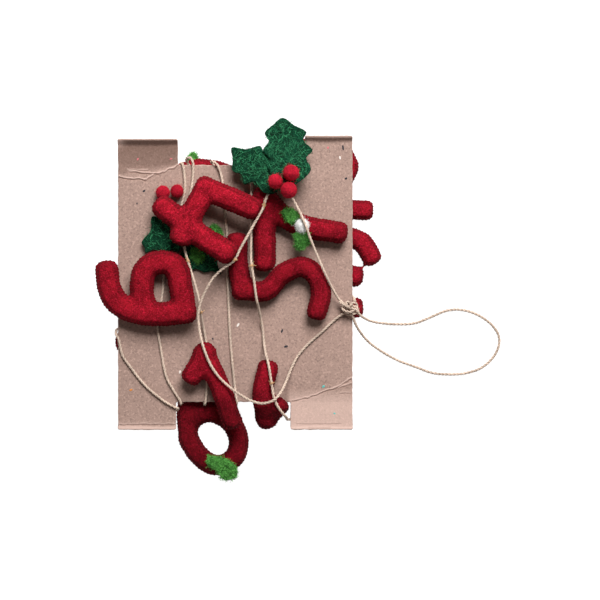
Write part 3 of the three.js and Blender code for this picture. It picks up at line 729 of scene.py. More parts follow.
def frames_along(line):
    """The line's own direction and two directions square to it at each point, without twist."""
    tangents = np.gradient(line, axis=0)
    tangents /= np.linalg.norm(tangents, axis=1)[:, None]
    side = unit(np.cross(tangents[0], UP))
    sides = []
    for tangent in tangents:
        side = unit(side - tangent * np.dot(side, tangent))
        sides.append(side)
    sides = np.array(sides)
    return tangents, sides, np.cross(tangents, sides)


def around(angle, first, second):
    """A direction at an angle between two directions square to each other."""
    return first * math.cos(angle) + second * math.sin(angle)


def any_way(picker):
    return np.array([picker.uniform(-1, 1) for _ in range(3)])


def hair_lines(roots, directions, lengths, curl, picker):
    """Short bent hairs that leave roots in the given directions."""
    found = []
    for root, direction, reach in zip(roots, directions, lengths):
        bend = any_way(picker)
        points = [root]
        heading = np.array(direction, float)
        for _ in range(HAIR_STEPS):
            heading = unit(heading + bend * curl / HAIR_STEPS)
            points.append(points[-1] + heading * reach / HAIR_STEPS)
        found.append(np.array(points))
    return found


class Hairs(NamedTuple):
    """How hairs sit on felt or wool: their material slot, and sizes in millimetres.

    rise is how much they stand off the surface, and curl how far they bend in all. Lying hairs
    follow the surface, and inside ones don't reach past its edge.
    """

    slot: int
    shortest: float
    longest: float
    thick: float
    lift: float
    rise: float
    curl: float
    lying: bool = False
    inside: bool = False


def add_hairs(piece, count, picker, kind):
    """Grows hairs of a kind at random points of a piece."""
    points, outward = coords(piece.data), normals(piece.data)
    roots, directions, lengths = [], [], []
    for _ in range(count):
        i = picker.randrange(len(points))
        way = any_way(picker)
        if kind.lying:
            way -= outward[i] * np.dot(way, outward[i])
            tip = points[i] + unit(way) * kind.longest * INSIDE_SHARE * MM
            if kind.inside and off_face(piece, tip):
                continue
        roots.append(points[i] + outward[i] * kind.lift * MM)
        directions.append(outward[i] * kind.rise + way)
        lengths.append(picker.uniform(kind.shortest, kind.longest) * MM)
    lines = hair_lines(roots, directions, lengths, kind.curl, picker)
    absorb(piece, swept(piece.name + "_hairs", lines, kind.thick * MM), kind.slot)


def off_face(piece, spot):
    """True if a spot lies well away from the felt."""
    _, where, _, _ = piece.closest_point_on_mesh(Vector(spot))
    return (where - Vector(spot)).length > OFF_FELT * MM


# camera

# The picture's middle and width at the board, the sensor's width, and the far end of the view in metres.
PICTURE_MIDDLE = (52.0, -13.2)
PICTURE_WIDTH = 480
SENSOR = 36.0
FAR = 20


class GARLAND_OT_camera(bpy.types.Operator):
    """Sets up the camera, straight above the board"""

    bl_idname = "garland.camera"
    bl_label = "Camera"

    def execute(self, context):
        camera = bpy.data.cameras.new("photo_camera")
        camera.sensor_width = SENSOR
        camera.lens = SENSOR * sizes().camera_height / (PICTURE_WIDTH * MM)
        camera.clip_end = FAR
        holder = bpy.data.objects.new("photo_camera", camera)
        context.scene.collection.objects.link(holder)
        holder.location = place(*PICTURE_MIDDLE, BOARD_TOP) + Vector((0, 0, sizes().camera_height))
        context.scene.camera = holder
        return {"FINISHED"}


# twine

# How the twine is laid: the step along a line, its two plies, and its stray hairs.
TWINE_DIAMETER = 2.0
LINE_STEP = 0.8
WOUND_STEP = 0.9
PLY_OFFSET = 0.43
PLY_RADIUS = 0.75
PLY_DRIFT_SIZE = 11
PLY_DRIFT = 0.9
PLY_SWELL_SIZE = 4
PLY_SWELL = 0.16
PLY_SEED_STEP = 7
HAIR_GAP = 2.6
HAIR_ROOT = 0.8
HAIR_LEAN = 1.5
HAIR_RISE = (0.2, 0.8)
HAIR_LENGTH = (1.2, 2.6)
HAIR_CURL = 0.9
HAIR_THICK = 0.05
# Painted shade on the twine: underneath it, and between its plies.
UNDER_TILT = 0.5
UNDER_START = 0.3
UNDER_SHADE = 0.7
CORE_REACH = 0.85
CORE_SHADE = 1.4
HOLLOW_MOST = 0.85
# The knot: a closed tangle, tilted and stretched into its place, and the two short cut ends.
KNOT_POINTS = 260
KNOT_WINDINGS = (3, 4)
KNOT_TUBE = 0.62
KNOT_TILT = [[0.82, -0.36, 0.45], [0.30, 0.93, 0.2], [-0.49, -0.03, 0.87]]
KNOT_STRETCH = (1.5, 1.2, 1.5)
KNOT_HAIR_GAP = 1.4
KNOT_TAILS = [
    [(90.0, -19.0, 27.0), (86.0, -16.5, 27.6), (83.6, -14.6, 26.0)],
    [(93.0, -20.0, 27.0), (96.6, -21.0, 27.2), (98.8, -23.6, 25.4)],
]
TAIL_HAIR_GAP = 1.0


def ply_lines(line, offset, pitch, seed):
    """The two plies of a twisted cord round a line, a little uneven."""
    _, sides, ups = frames_along(line)
    wander = noise_field(line, PLY_DRIFT_SIZE * MM, seed) * PLY_DRIFT
    found = []
    for k in range(2):
        angle = run_along(line) / pitch * 2 * math.pi + k * math.pi + wander
        swell = noise_field(line, PLY_SWELL_SIZE * MM, seed + PLY_SEED_STEP + k)
        across, up = np.cos(angle)[:, None], np.sin(angle)[:, None]
        reach = offset * (1 + PLY_SWELL * swell)[:, None]
        found.append(line + (sides * across + ups * up) * reach)
    return found


def twine_mesh(name, line, seed, hair_gap=HAIR_GAP):
    """Two-ply jute twine with stray hairs, along a line."""
    radius = TWINE_DIAMETER / 2 * MM
    plies = ply_lines(line, radius * PLY_OFFSET, sizes().twine_pitch, seed)
    body = swept(name, plies, radius * PLY_RADIUS, 1)
    picker = random.Random(seed)
    tangents, sides, ups = frames_along(line)
    roots, directions, lengths = [], [], []
    for _ in range(int(line_length(line) / (hair_gap * MM))):
        i = picker.randrange(len(line))
        out = around(picker.uniform(0, 2 * math.pi), sides[i], ups[i])
        roots.append(line[i] + out * radius * HAIR_ROOT)
        ahead = tangents[i] * picker.choice((-1, 1))
        directions.append(ahead * HAIR_LEAN + out * picker.uniform(*HAIR_RISE))
        lengths.append(picker.uniform(*HAIR_LENGTH) * MM)
    hairs = hair_lines(roots, directions, lengths, HAIR_CURL, picker)
    piece = link(name, body)
    # Painted shade on the twine's underside and between its plies.
    under = np.clip(UNDER_START - normals(body)[:, 2] * UNDER_TILT, 0, 1) * UNDER_SHADE
    core = np.clip(1 - distance_to_spots(coords(body), line) / (radius * CORE_REACH), 0, 1) * CORE_SHADE
    set_attribute(body, "hollow", np.clip(np.maximum(under, core), 0, HOLLOW_MOST))
    shade_smooth(piece)
    absorb(piece, swept(name + "_hairs", hairs, HAIR_THICK * MM), 0)
    keep_above_floor(body)
    return piece


def lay_cord(name, node, route, seed):
    """Lays a free stretch of the twine along its route."""
    line = smooth_line(route, LINE_STEP * MM)
    piece = finish(twine_mesh(name, line, seed), [twine_finish()], "twine", node)
    return {"FINISHED"}


class GARLAND_OT_bow(bpy.types.Operator):
    """Lays the bow of twine across the front"""

    bl_idname = "garland.bow"
    bl_label = "Bow"

    def execute(self, context):
        return lay_cord("bow_twine", "twine_bow", BOW_ROUTE, seed=11)


class GARLAND_OT_loop(bpy.types.Operator):
    """Lays the hanging loop of twine out on the surface"""

    bl_idname = "garland.loop"
    bl_label = "Hanging loop"

    def execute(self, context):
        return lay_cord("hanging_loop_twine", "twine_loop", LOOP_ROUTE, seed=12)


class GARLAND_OT_wound(bpy.types.Operator):
    """Winds the twine round the board"""

    bl_idname = "garland.wound"
    bl_label = "Wound twine"

    def execute(self, context):
        line = smooth_line(WOUND_ROUTE, WOUND_STEP * MM)
        finish(twine_mesh("wound_twine", line, seed=13), [twine_finish()], "twine", "twine_wound")
        return {"FINISHED"}


class GARLAND_OT_knot(bpy.types.Operator):
    """Ties the knot that the bow and the loop leave from"""

    bl_idname = "garland.knot"
    bl_label = "Knot"

    def execute(self, context):
        low, high = (np.array(corner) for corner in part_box("twine_knot"))
        reach, _, rise = (high - low) / 2 - TWINE_DIAMETER / 2 * MM
        turns = np.linspace(0, 2 * math.pi, KNOT_POINTS)
        ring, wave = (windings * turns for windings in KNOT_WINDINGS)
        tube = 1 + KNOT_TUBE * np.cos(wave)
        tangle = np.stack([np.cos(ring) * tube, np.sin(ring) * tube, np.sin(wave)], axis=1)
        tilted = tangle / (1 + KNOT_TUBE) @ np.array(KNOT_TILT).T
        line = tilted * (reach, reach, rise) * KNOT_STRETCH + (low + high) / 2
        piece = twine_mesh("knot_twine", line, seed=14, hair_gap=KNOT_HAIR_GAP)
        for seed, tail in enumerate(KNOT_TAILS, start=15):
            end = twine_mesh("knot_tail", smooth_line(tail, LINE_STEP * MM), seed, TAIL_HAIR_GAP)
            absorb(piece, end.data, 0)
        finish(piece, [twine_finish()], "twine", "twine_knot")
        return {"FINISHED"}


# board

# The grid that the board is cut into: its cell, and where it starts and stops in each direction.
BOARD_CELL = 1.5
BOARD_GRID = [(-92.4, 94.0, (1, 0, 0)), (-116.0, 118.0, (0, 1, 0))]
# The rounding of the board's corners and edges, how level the edges of a face are, and how near to a
# face its points lie.
CORNER_ROUND = 1.5
EDGE_ROUND = 0.45
TOUCHING = 0.01
FACE_DEPTH = 0.1
# The ears: how far beside one its points may lie, and how much its cut edge leans as it bends. Their
# lips: how the fold wanders, how soon the lip is at its full curl, and how the painted shade on it
# (painted light on the lower lips) grows from its fold to its rim, which is paler.
EAR_MARGIN = 2
EDGE_LEAN = 0.6
LIP_WAVE_SIZE = 22
LIP_WAVE = 0.9
LIP_STEEPENS = 2.2
LIP_SHADE_FROM = 0.1
LIP_SHADE_FULL = 0.55
LIP_SHADE_POWER = 1.3
LIP_RIM = 0.9
LIP_RIM_TONE = -0.45
# The creases: a valley with a ridge beside it, which wander a little and show through on the underside.
# The valley is given painted shade and the ridge a painted highlight.
CREASE_REACH = 2.4
CREASE_WANDER_SIZE = 4
CREASE_WANDER = 0.8
CREASE_WANDER_SEEDS = (8, 18)
VALLEY_WIDTH = 0.5
VALLEY_SHADE = 2.0
RIDGE_OFF = 1.0
RIDGE_WIDTH = 0.55
RIDGE_SHARE = 0.6
RIDGE_HIGHLIGHT = 2.2
UNDER_SHARE = 0.4
# Lumps of the board, as size, height and seed: its warp, its grain, and its frayed rim.
BOARD_WAVES = [(40, 0.3, 3), (11, 0.06, 4)]
BOARD_GRAIN = [(2.4, 0.035, 9)]
BOARD_FRAY = [(3.4, 0.3, 5), (1.2, 0.16, 6)]
# Painted shade on the upper left ear: where it starts, across a slanting line, and how it deepens up the
# ear.
SHADED_EAR = (-44, 80)
SHADED_EAR_FROM = (-93.0, 85.6)
SHADED_EAR_SLOPE = 0.17
SHADED_EAR_BLUR = 3.0
SHADED_EAR_DEPTH = 0.46
SHADED_EAR_UP_FROM = 92
SHADED_EAR_UP_REACH = 18
SHADED_EAR_UP = 0.2
# Painted light on the lower right ear, the rubbed corner, and how pale the rubbed corner and the rim are.
LIT_EAR = (44, -84)
LIT_EAR_BLUR = 8
LIT_EAR_PALE = 0.5
RUBBED_CORNER = (-93.0, 114.8)
RUBBED_WIDTH = 4.2
CORNER_PALE = 0.8
RIM_PALE = 0.35
# The flecks: their screen colours, how much bigger they are than listed, and how they lie.
FLECK_COLOURS = {
    "ink": (50, 50, 56),
    "teal": (100, 184, 176),
    "pale": (232, 222, 214),
    "ochre": (206, 132, 70),
    "rose": (206, 112, 118),
}
FLECK_GROWTH = 1.5
FLECK_THICK = 0.2
FLECK_LIFT = 0.02
# A height above everything, in metres.
ABOVE_ALL = 0.2


def distance_to_line(points, line):
    """Distance of each point from a broken line, in the plane."""
    found = []
    for a, b in zip(line, line[1:]):
        a, b = np.array(a), np.array(b)
        share = np.clip(((points - a) @ (b - a)) / ((b - a) @ (b - a)), 0, 1)
        found.append(np.linalg.norm(points - (a + share[:, None] * (b - a)), axis=1))
    return np.minimum.reduce(found)


def board_outline():
    """The board's corners, round its middle and its four ears."""
    upper_left, upper_right, lower_left, lower_right = EARS
    left, notch_left, fold, left_top = upper_left[:4]
    notch_right, right, _, right_top = upper_right[:4]
    return [
        (left, lower_left[3]), (lower_left[1], lower_left[3]), (lower_left[1], -fold),
        (lower_right[0], -fold), (lower_right[0], lower_right[3]), (right, lower_right[3]),
        (right, right_top), (notch_right, right_top), (notch_right, fold),
        (notch_left, fold), (notch_left, left_top), (left, left_top),
    ]


def bend_ears(flat, heights):
    """Where the points go as the ears and lips bend up, and the painted shade and light on the lips."""
    middle = (BOARD_TOP + BOARD_UNDER) / 2
    x, y, z = flat[:, 0], flat[:, 1].copy(), heights.copy()
    lip_tones = np.zeros(len(flat))
    for x0, x1, fold, end, bend, curl, width, darker in EARS:
        side = math.copysign(1, fold)
        bend, curl = math.radians(bend), math.radians(curl)
        out = flat[:, 1] * side
        inside = (x > x0 - EAR_MARGIN) & (x < x1 + EAR_MARGIN) & (out > abs(fold))
        wave = noise_field(np.stack([x, x * 0, x * 0], axis=1), LIP_WAVE_SIZE, end) * LIP_WAVE
        lip_start = abs(end) - width + wave
        past_fold = np.minimum(out, lip_start) - abs(fold)
        past_lip = np.maximum(out - lip_start, 0)
        share = np.clip(past_lip / width, 0, 1)
        steep = bend + curl * np.minimum(1, share * LIP_STEEPENS)
        rise = past_fold * math.tan(bend) + past_lip * np.tan(steep)
        run = past_fold * math.cos(bend) + past_lip * np.cos(steep)
        lean = np.where(past_lip > 0, steep, bend)
        offset = z - middle
        z = np.where(inside, middle + rise + offset * np.cos(lean), z)
        y = np.where(inside, side * (abs(fold) + run - offset * np.sin(lean) * EDGE_LEAN), y)
        # Painted shade on the lip, painted light where its value is below nought, and a paler rim.
        lip_tone = np.clip(share / LIP_SHADE_FULL, 0, 1) ** LIP_SHADE_POWER * darker
        lip_tone = np.where(past_lip > width - LIP_RIM, LIP_RIM_TONE, lip_tone)
        lip_tones = np.where(inside & (past_lip > LIP_SHADE_FROM), lip_tone, lip_tones)
    return y, z, lip_tones


def cut_board():
    """The flat plate of the board as a bmesh, with rounded corners and edges and an even grid."""
    work = bmesh.new()
    corners = [work.verts.new(place(x, y, BOARD_UNDER)) for x, y in board_outline()]
    work.faces.new(corners)
    bmesh.ops.bevel(
        work, geom=corners, offset=CORNER_ROUND * MM, segments=3, profile=0.5, affect="VERTICES", material=-1
    )
    lifted = bmesh.ops.extrude_face_region(work, geom=list(work.faces))
    raised = [v for v in lifted["geom"] if isinstance(v, bmesh.types.BMVert)]
    bmesh.ops.translate(work, verts=raised, vec=(0, 0, (BOARD_TOP - BOARD_UNDER) * MM))
    bmesh.ops.recalc_face_normals(work, faces=work.faces)
    rims = [e for e in work.edges if abs(e.verts[0].co.z - e.verts[1].co.z) < TOUCHING * MM]
    bmesh.ops.bevel(
        work, geom=rims, offset=EDGE_ROUND * MM, segments=2, profile=0.5, affect="EDGES", material=-1
    )
    for start, stop, along in BOARD_GRID:
        for step in np.arange(start, stop, BOARD_CELL):
            everything = work.verts[:] + work.edges[:] + work.faces[:]
            spot = place(step * along[0], step * along[1])
            bmesh.ops.bisect_plane(work, geom=everything, plane_co=spot, plane_no=along)
    return work


def refine_creases(work):
    """Cuts the board's face finer along the creases."""
    edges = work.edges[:]
    middles = np.array([(e.verts[0].co + e.verts[1].co) / 2 for e in edges])
    near = np.minimum.reduce([distance_to_line(on_plan(middles), line) for _, line in CREASES])
    top = middles[:, 2] > (BOARD_TOP - TOUCHING) * MM
    chosen = [edges[i] for i in np.flatnonzero((near < CREASE_REACH) & top)]
    bmesh.ops.subdivide_edges(work, edges=chosen, cuts=3, use_grid_fill=True)


def press_board(piece):
    """Bends the ears, presses in the creases, and roughens the cut edges."""
    mesh = piece.data
    points, outward = coords(mesh), normals(mesh)
    flat = on_plan(points)
    top = points[:, 2] > (BOARD_TOP - FACE_DEPTH) * MM
    under = points[:, 2] < (BOARD_UNDER + FACE_DEPTH) * MM
    rim = ~(top | under)
    worn, pale = np.zeros(len(points)), np.zeros(len(points))
    wander = [noise_field(points, CREASE_WANDER_SIZE * MM, seed) for seed in CREASE_WANDER_SEEDS]
    creased = flat + np.stack(wander, axis=1) * CREASE_WANDER
    for depth, line in CREASES:
        valley = bell(distance_to_line(creased, line), VALLEY_WIDTH)
        ridge = bell(distance_to_line(creased - (0, RIDGE_OFF), line), RIDGE_WIDTH)
        points[:, 2] += (RIDGE_SHARE * ridge - valley) * depth * MM * np.where(top, 1, UNDER_SHARE)
        # Painted shade in the valley of the crease, and a painted highlight on its ridge.
        worn = np.maximum(worn, np.where(top, VALLEY_SHADE * valley * depth, 0))
        pale = np.maximum(pale, np.where(top, RIDGE_HIGHLIGHT * ridge * depth, 0))
    y, z, lip = bend_ears(flat, points[:, 2] / MM)
    points[:, 1] = ORIGIN_Y + y * MM
    points[:, 2] = z * MM
    points[:, 2] += lumps(points, BOARD_WAVES)
    points[:, 2] += lumps(points, BOARD_GRAIN)
    points[:, :2] += np.where(rim, lumps(points, BOARD_FRAY), 0)[:, None] * outward[:, :2]
    set_coords(mesh, points)
    # Painted shade and painted light of the creases, lips and ears, and the paler corner and rim.
    ear_shade, ear_light, corner = ear_light_and_corner(flat)
    worn = np.maximum(worn, np.maximum(lip, ear_shade) * top) * (1 - corner)
    pale = np.maximum.reduce([pale, ear_light * top, -lip * top, corner * CORNER_PALE, rim * RIM_PALE])
    set_attribute(mesh, "worn", np.clip(worn, 0, 1))
    set_attribute(mesh, "pale", np.clip(pale, 0, 1))


def ear_light_and_corner(flat):
    """Painted shade on the upper left ear, painted light on the lower right ear, and how scuffed the corner
    is.
    """
    x, y = flat[:, 0], flat[:, 1]
    # Painted shade across the upper left ear, deeper towards its top.
    past_crease = y - SHADED_EAR_FROM[1] - (x - SHADED_EAR_FROM[0]) * SHADED_EAR_SLOPE
    ear_shade = np.clip(past_crease / SHADED_EAR_BLUR, 0, 1) * SHADED_EAR_DEPTH
    ear_shade += np.clip((y - SHADED_EAR_UP_FROM) / SHADED_EAR_UP_REACH, 0, 1) * SHADED_EAR_UP
    ear_shade = np.where((x < SHADED_EAR[0]) & (y > SHADED_EAR[1]), ear_shade, 0)
    # Painted light on the lower right ear.
    ear_light = np.clip((LIT_EAR[1] - y) / LIT_EAR_BLUR, 0, 1) * LIT_EAR_PALE
    ear_light = np.where((x > LIT_EAR[0]) & (y < LIT_EAR[1]), ear_light, 0)
    corner = bell(np.hypot(x - RUBBED_CORNER[0], y - RUBBED_CORNER[1]), RUBBED_WIDTH)
    return ear_shade, ear_light, corner


def board_flecks(board):
    """Presses the coloured flecks of the pulp into the face of the board."""
    work = bmesh.new()
    kinds = list(FLECK_COLOURS)
    for kind, x, y, long, wide, turn in FLECKS:
        size = Vector((long * FLECK_GROWTH, wide * FLECK_GROWTH, FLECK_THICK)) * MM
        height = surface_height(board, place(x, y)) / MM + FLECK_LIFT
        lie = Matrix.LocRotScale(place(x, y, height), Euler((0, 0, math.radians(turn))), size)
        made = bmesh.ops.create_icosphere(work, subdivisions=2, radius=0.5, matrix=lie)
        for face in {f for v in made["verts"] for f in v.link_faces}:
            face.material_index = kinds.index(kind)
            face.smooth = True
    materials = [
        strand_finish("fleck_" + kind, linear(shown), light=1.1, dark=0.85, scale=900, sheen=0.0)
        for kind, shown in FLECK_COLOURS.items()
    ]
    finish(made_piece("board_flecks", work), materials, "board")


def surface_height(piece, spot):
    """Height of the top of a piece over a spot."""
    hit, where, _, _ = piece.ray_cast(Vector((spot.x, spot.y, ABOVE_ALL)), -Vector(UP))
    if not hit:
        raise RuntimeError(f"nothing of {piece.name} under {tuple(spot)}")
    return where.z


class GARLAND_OT_board(bpy.types.Operator):
    """Cuts the winding board, with its bent ears, creases, soft edges and flecks"""

    bl_idname = "garland.board"
    bl_label = "Board"

    def execute(self, context):
        work = cut_board()
        refine_creases(work)
        piece = made_piece("winding_board", work)
        press_board(piece)
        shade_smooth(piece)
        finish(piece, [board_finish()], "board", "board")
        board_flecks(piece)
        return {"FINISHED"}


# numerals

# The strokes of a numeral: stuffed tubes, squared off at both ends with rounded corners. They are
# joined in facets of a cell's size, which are softened in rounds.
STROKE_HALF_WIDTH = 8.4
STROKE_HALF_THICK = 7.0
STROKE_CORNER = 4.6
STROKE_REACH = 8.3
STROKE_STEP = 1.4
STROKE_END_POINTS = 12
STROKE_RING = 5
STROKE_CELL = 1.9
SOFTENING = 5
# The filling: the cloth is blown up at ten times its size for a few frames, held near its seam, and
# swells by a part of a millimetre at most.
FILLING = {
    "quality": 4,
    "mass": 0.3,
    "tension_stiffness": 12,
    "compression_stiffness": 12,
    "bending_stiffness": 0.6,
    "use_pressure": True,
    "uniform_pressure_force": 4.0,
    "pin_stiffness": 1.0,
}
FILLING_SCALE = 10.0
FILLING_FRAMES = 14
FILLING_MOST = 0.7
SEAM_BAND = 1.2
SEAM_HOLD = 0.95
# The seam: the least points of its line, the least stitches round it, its step, and how the seam, its
# stitches and their holes raise the felt and lay painted shade on it: how far off, how wide and how much.
LEAST_SEAM = 12
LEAST_STITCHES = 6
SEAM_STEP = 0.6
STITCH_PULL = (0, 1.1, -1.15)
HOLE_PULL = (0, 1.0, -0.7)
SEAM_RIDGE = (0, 1.1, 0.95)
SEAM_VALLEY = (2.6, 1.0, -0.4)
SEAM_DARK = (0, 0.6, 0.3)
STITCH_DARK = (0, 0.85, 0.8)
HOLE_DARK = (0, 1.0, 0.8)
# How far a whip stitch reaches in and up from the seam, and how it varies.
STITCH_IN = 1.9
STITCH_TALL = 4.3
STITCH_POINTS = 7
STITCH_SLANT = (0.2, 0.6)
STITCH_UNEVEN = (0.85, 1.1)
STITCH_SUNK = 0.35
STITCH_PROUD = 0.12
# Lumps of the stuffed felt, as size, height and step of the seed.
FELT_LUMPS = [(14, 0.55, 0), (5.5, 0.25, 2), (2.6, 0.22, 4), (1.4, 0.1, 5)]
# Pieces stuffed fuller than the rest, so that their strokes spread sideways.
NUMERAL_PLUMP = {"numeral_4": 1.1, "numeral_9": 1.4, "numeral_7": 0.7}
# Painted light and shade for each piece: numerals lying more in the light are painted brighter, and
# those in more shade darker, than the rest.
NUMERAL_TONES = {
    "numeral_4": 1.36,
    "numeral_1_right": 1.16,
    "numeral_3": 1.2,
    "numeral_5": 0.92,
    "numeral_7": 1.03,
}
PLAIN_TONE = 1.15
# Painted shade on the wool: darker on its sides, and on the pieces below the board.
SIDE_TILT = 0.82
SIDE_FADE = 0.62
TONE_FADE_FROM = -76.0
TONE_FADE_REACH = 26.0
TONE_FADE = 0.5
# Below this height the felt flattens out, so that it doesn't sink into the surface.
FLAT_UNDER = 0.6
# The light fibres of the red felt: how much brighter they are, and what is added to each part.
RED_FIBRE = 2.6
RED_FIBRE_TINT = (0.0, 0.0, 0.012)
NUMERAL_HAIRS = Hairs(slot=2, shortest=0.8, longest=2.2, thick=0.05, lift=0.0, rise=0.55, curl=1.35)


def turned(points, degrees):
    """Points turned about the upright line through the origin."""
    angle = math.radians(degrees)
    found = points.copy()
    found[:, 0] = points[:, 0] * math.cos(angle) - points[:, 1] * math.sin(angle)
    found[:, 1] = points[:, 0] * math.sin(angle) + points[:, 1] * math.cos(angle)
    return found


def mid_height(name, points):
    """Height of a numeral's middle under each point, in metres."""
    _, x, y, turn, lay = NUMERALS[name]
    up = turned(on_plan(points) - np.array([x, y]), -turn)[:, 1]
    places, heights = zip(*lay)
    return np.interp(up, places, heights) * MM


def seam_loops(mesh):
    """The closed lines where a flattened numeral's seam runs, at its middle height."""
    work = bmesh.new()
    work.from_mesh(mesh)
    everything = work.verts[:] + work.edges[:] + work.faces[:]
    cut = bmesh.ops.bisect_plane(work, geom=everything, plane_co=(0, 0, 0), plane_no=UP)
    work.verts.index_update()
    near, where = {}, {}
    for edge in cut["geom_cut"]:
        if isinstance(edge, bmesh.types.BMEdge):
            a, b = edge.verts
            near.setdefault(a.index, set()).add(b.index)
            near.setdefault(b.index, set()).add(a.index)
            where[a.index], where[b.index] = np.array(a.co), np.array(b.co)
    work.free()
    loops = []
    left = set(near)
    while left:
        before, here = None, min(left)
        chain = []
        while here is not None:
            chain.append(here)
            left.discard(here)
            ahead = [n for n in near[here] if n != before and n in left]
            before, here = here, ahead[0] if ahead else None
        if len(chain) > LEAST_SEAM:
            loops.append(np.array([where[i] for i in chain]))
    return loops


def even_loop(loop, step):
    """Points at an even step round a closed line, and the line's direction there."""
    ring = np.vstack([loop, loop[:1]])
    run = run_along(ring)
    at = np.linspace(0, run[-1], max(LEAST_STITCHES, round(run[-1] / step)), endpoint=False)
    points = np.stack([np.interp(at, run, ring[:, k]) for k in range(3)], axis=1)
    tangents = np.roll(points, -1, axis=0) - np.roll(points, 1, axis=0)
    return points, tangents / np.linalg.norm(tangents, axis=1)[:, None]


def puff(piece):
    """Fills a flattened numeral: its cloth swells a little between its pinned seams."""
    mesh = piece.data
    start = coords(mesh)
    set_coords(mesh, start * FILLING_SCALE)
    pins = piece.vertex_groups.new(name="seam")
    pins.add(np.flatnonzero(np.abs(start[:, 2]) < SEAM_BAND * MM).tolist(), SEAM_HOLD, "REPLACE")
    cloth = piece.modifiers.new("Filling", "CLOTH")
    for key, value in FILLING.items():
        setattr(cloth.settings, key, value)
    cloth.settings.effector_weights.gravity = 0.0
    cloth.settings.vertex_group_mass = pins.name
    cloth.collision_settings.use_collision = False
    cloth.point_cache.frame_start = 1
    cloth.point_cache.frame_end = FILLING_FRAMES
    for step in range(1, FILLING_FRAMES + 1):
        bpy.context.scene.frame_set(step)
    swollen = evaluated_mesh(piece)
    moved = coords(swollen) / FILLING_SCALE - start
    bpy.data.meshes.remove(swollen)
    bpy.context.scene.frame_set(1)
    piece.modifiers.clear()
    piece.vertex_groups.clear()
    far = np.maximum(np.linalg.norm(moved, axis=1)[:, None], FILLING_MOST * MM)
    set_coords(mesh, start + moved * FILLING_MOST * MM / far)


def stroke_line(points):
    """A stroke's middle line with both ends run out square, and its width at each point."""
    line = smooth_curve(np.array([(x, y, 0.0) for x, y in points]) * MM, STROKE_STEP * MM)
    beyond = np.linspace(0, STROKE_REACH * MM, STROKE_END_POINTS)[1:, None]
    head, tail = unit(line[0] - line[1]), unit(line[-1] - line[-2])
    line = np.vstack([line[0] + head * beyond[::-1], line, line[-1] + tail * beyond])
    run, corner = run_along(line), STROKE_CORNER * MM
    inset = np.clip(corner - np.minimum(run, run[-1] - run), 0, corner)
    return line, 1 - (corner - np.sqrt(corner**2 - inset**2)) / (STROKE_HALF_WIDTH * MM)


def stuffed_shape(name):
    """A numeral laid flat round its middle height: padded strokes, run together."""
    digit, x, y, turn, _ = NUMERALS[name]
    lines, widths = zip(*[stroke_line(points) for points in STROKES[digit]])
    tubes = swept(name, lines, STROKE_HALF_WIDTH * MM, STROKE_RING, widths)
    piece = link("felt_" + name, tubes)
    points = coords(piece.data)
    points[:, 2] *= STROKE_HALF_THICK / STROKE_HALF_WIDTH
    set_coords(piece.data, turned(points, turn) + np.array(place(x, y)))
    return remesh(piece, STROKE_CELL * MM, SOFTENING)


def rest_on_surface(points):
    """Flattens what would sink into the surface that the garland lies on."""
    low = FLAT_UNDER * MM
    z = points[:, 2]
    points[:, 2] = np.where(z < low, low * np.exp((z - low) / low), z)


def hill(distance, off, width, height):
    """A rise, or a dip, some way off from a line or spot."""
    return bell(distance - off, width) * height


def padded_numeral(name, seed, red):
    """One stuffed numeral: swollen felt, a pinched seam, whip stitches and loose wool."""
    picker = random.Random(seed)
    piece = stuffed_shape(name)
    puff(piece)
    remesh(piece, sizes().felt_cell, SOFTENING)
    mesh = piece.data
    points, outward = coords(mesh), normals(mesh)
    stitches, seam = [], []
    for loop in seam_loops(mesh):
        stitches += list(zip(*even_loop(loop, sizes().stitch_step)))
        seam += list(even_loop(loop, SEAM_STEP * MM)[0])
    holes = []
    for spot, tangent in stitches:
        inner = spot - seam_out(piece, spot, tangent) * STITCH_IN * MM
        holes += [inner + UP * side * STITCH_TALL * MM for side in (-1, 1)]
    to_stitch = distance_to_spots(points, [spot for spot, _ in stitches]) / MM
    to_hole = distance_to_spots(points, holes) / MM
    to_seam = distance_to_spots(points, seam) / MM
    drawn = hill(to_stitch, *STITCH_PULL) + hill(to_hole, *HOLE_PULL)
    drawn += hill(to_seam, *SEAM_RIDGE) + hill(to_seam, *SEAM_VALLEY)
    moved = points + outward * (lumps(points, FELT_LUMPS, seed) + drawn * MM)[:, None]
    moved[:, :2] += outward[:, :2] * NUMERAL_PLUMP.get(name, 0.0) * MM
    set_coords(mesh, moved)
    # Painted shade in the seam, round the stitches and in their holes.
    gaps = np.maximum(hill(to_stitch, *STITCH_DARK), hill(to_hole, *HOLE_DARK))
    set_attribute(mesh, "seam", np.maximum(hill(to_seam, *SEAM_DARK), gaps))
    set_attribute(mesh, "tone", felt_tone(name, points, outward))
    shade_smooth(piece)
    add_stitches(piece, stitches, picker)
    add_hairs(piece, sizes().hairs, picker, NUMERAL_HAIRS)
    bent = coords(piece.data)
    bent[:, 2] += mid_height(name, bent)
    rest_on_surface(bent)
    set_coords(piece.data, bent)
    finish(piece, red, "red_felt", name)


def felt_tone(name, points, outward):
    """How bright the wool is: each piece's own painted light and shade, with painted shade on its sides
    and on the pieces below the board.
    """
    sides = np.clip(1 - np.abs(outward[:, 2]) / SIDE_TILT, 0, 1) * SIDE_FADE
    low = np.clip((TONE_FADE_FROM - on_plan(points)[:, 1]) / TONE_FADE_REACH, 0, 1) * TONE_FADE
    return NUMERAL_TONES.get(name, PLAIN_TONE) * (1 - sides) * (1 - low)


def distance_to_spots(points, spots):
    """Distance of each point from the nearest spot."""
    tree = KDTree(len(spots))
    for i, spot in enumerate(spots):
        tree.insert(spot, i)
    tree.balance()
    return np.array([tree.find(p)[2] for p in points])


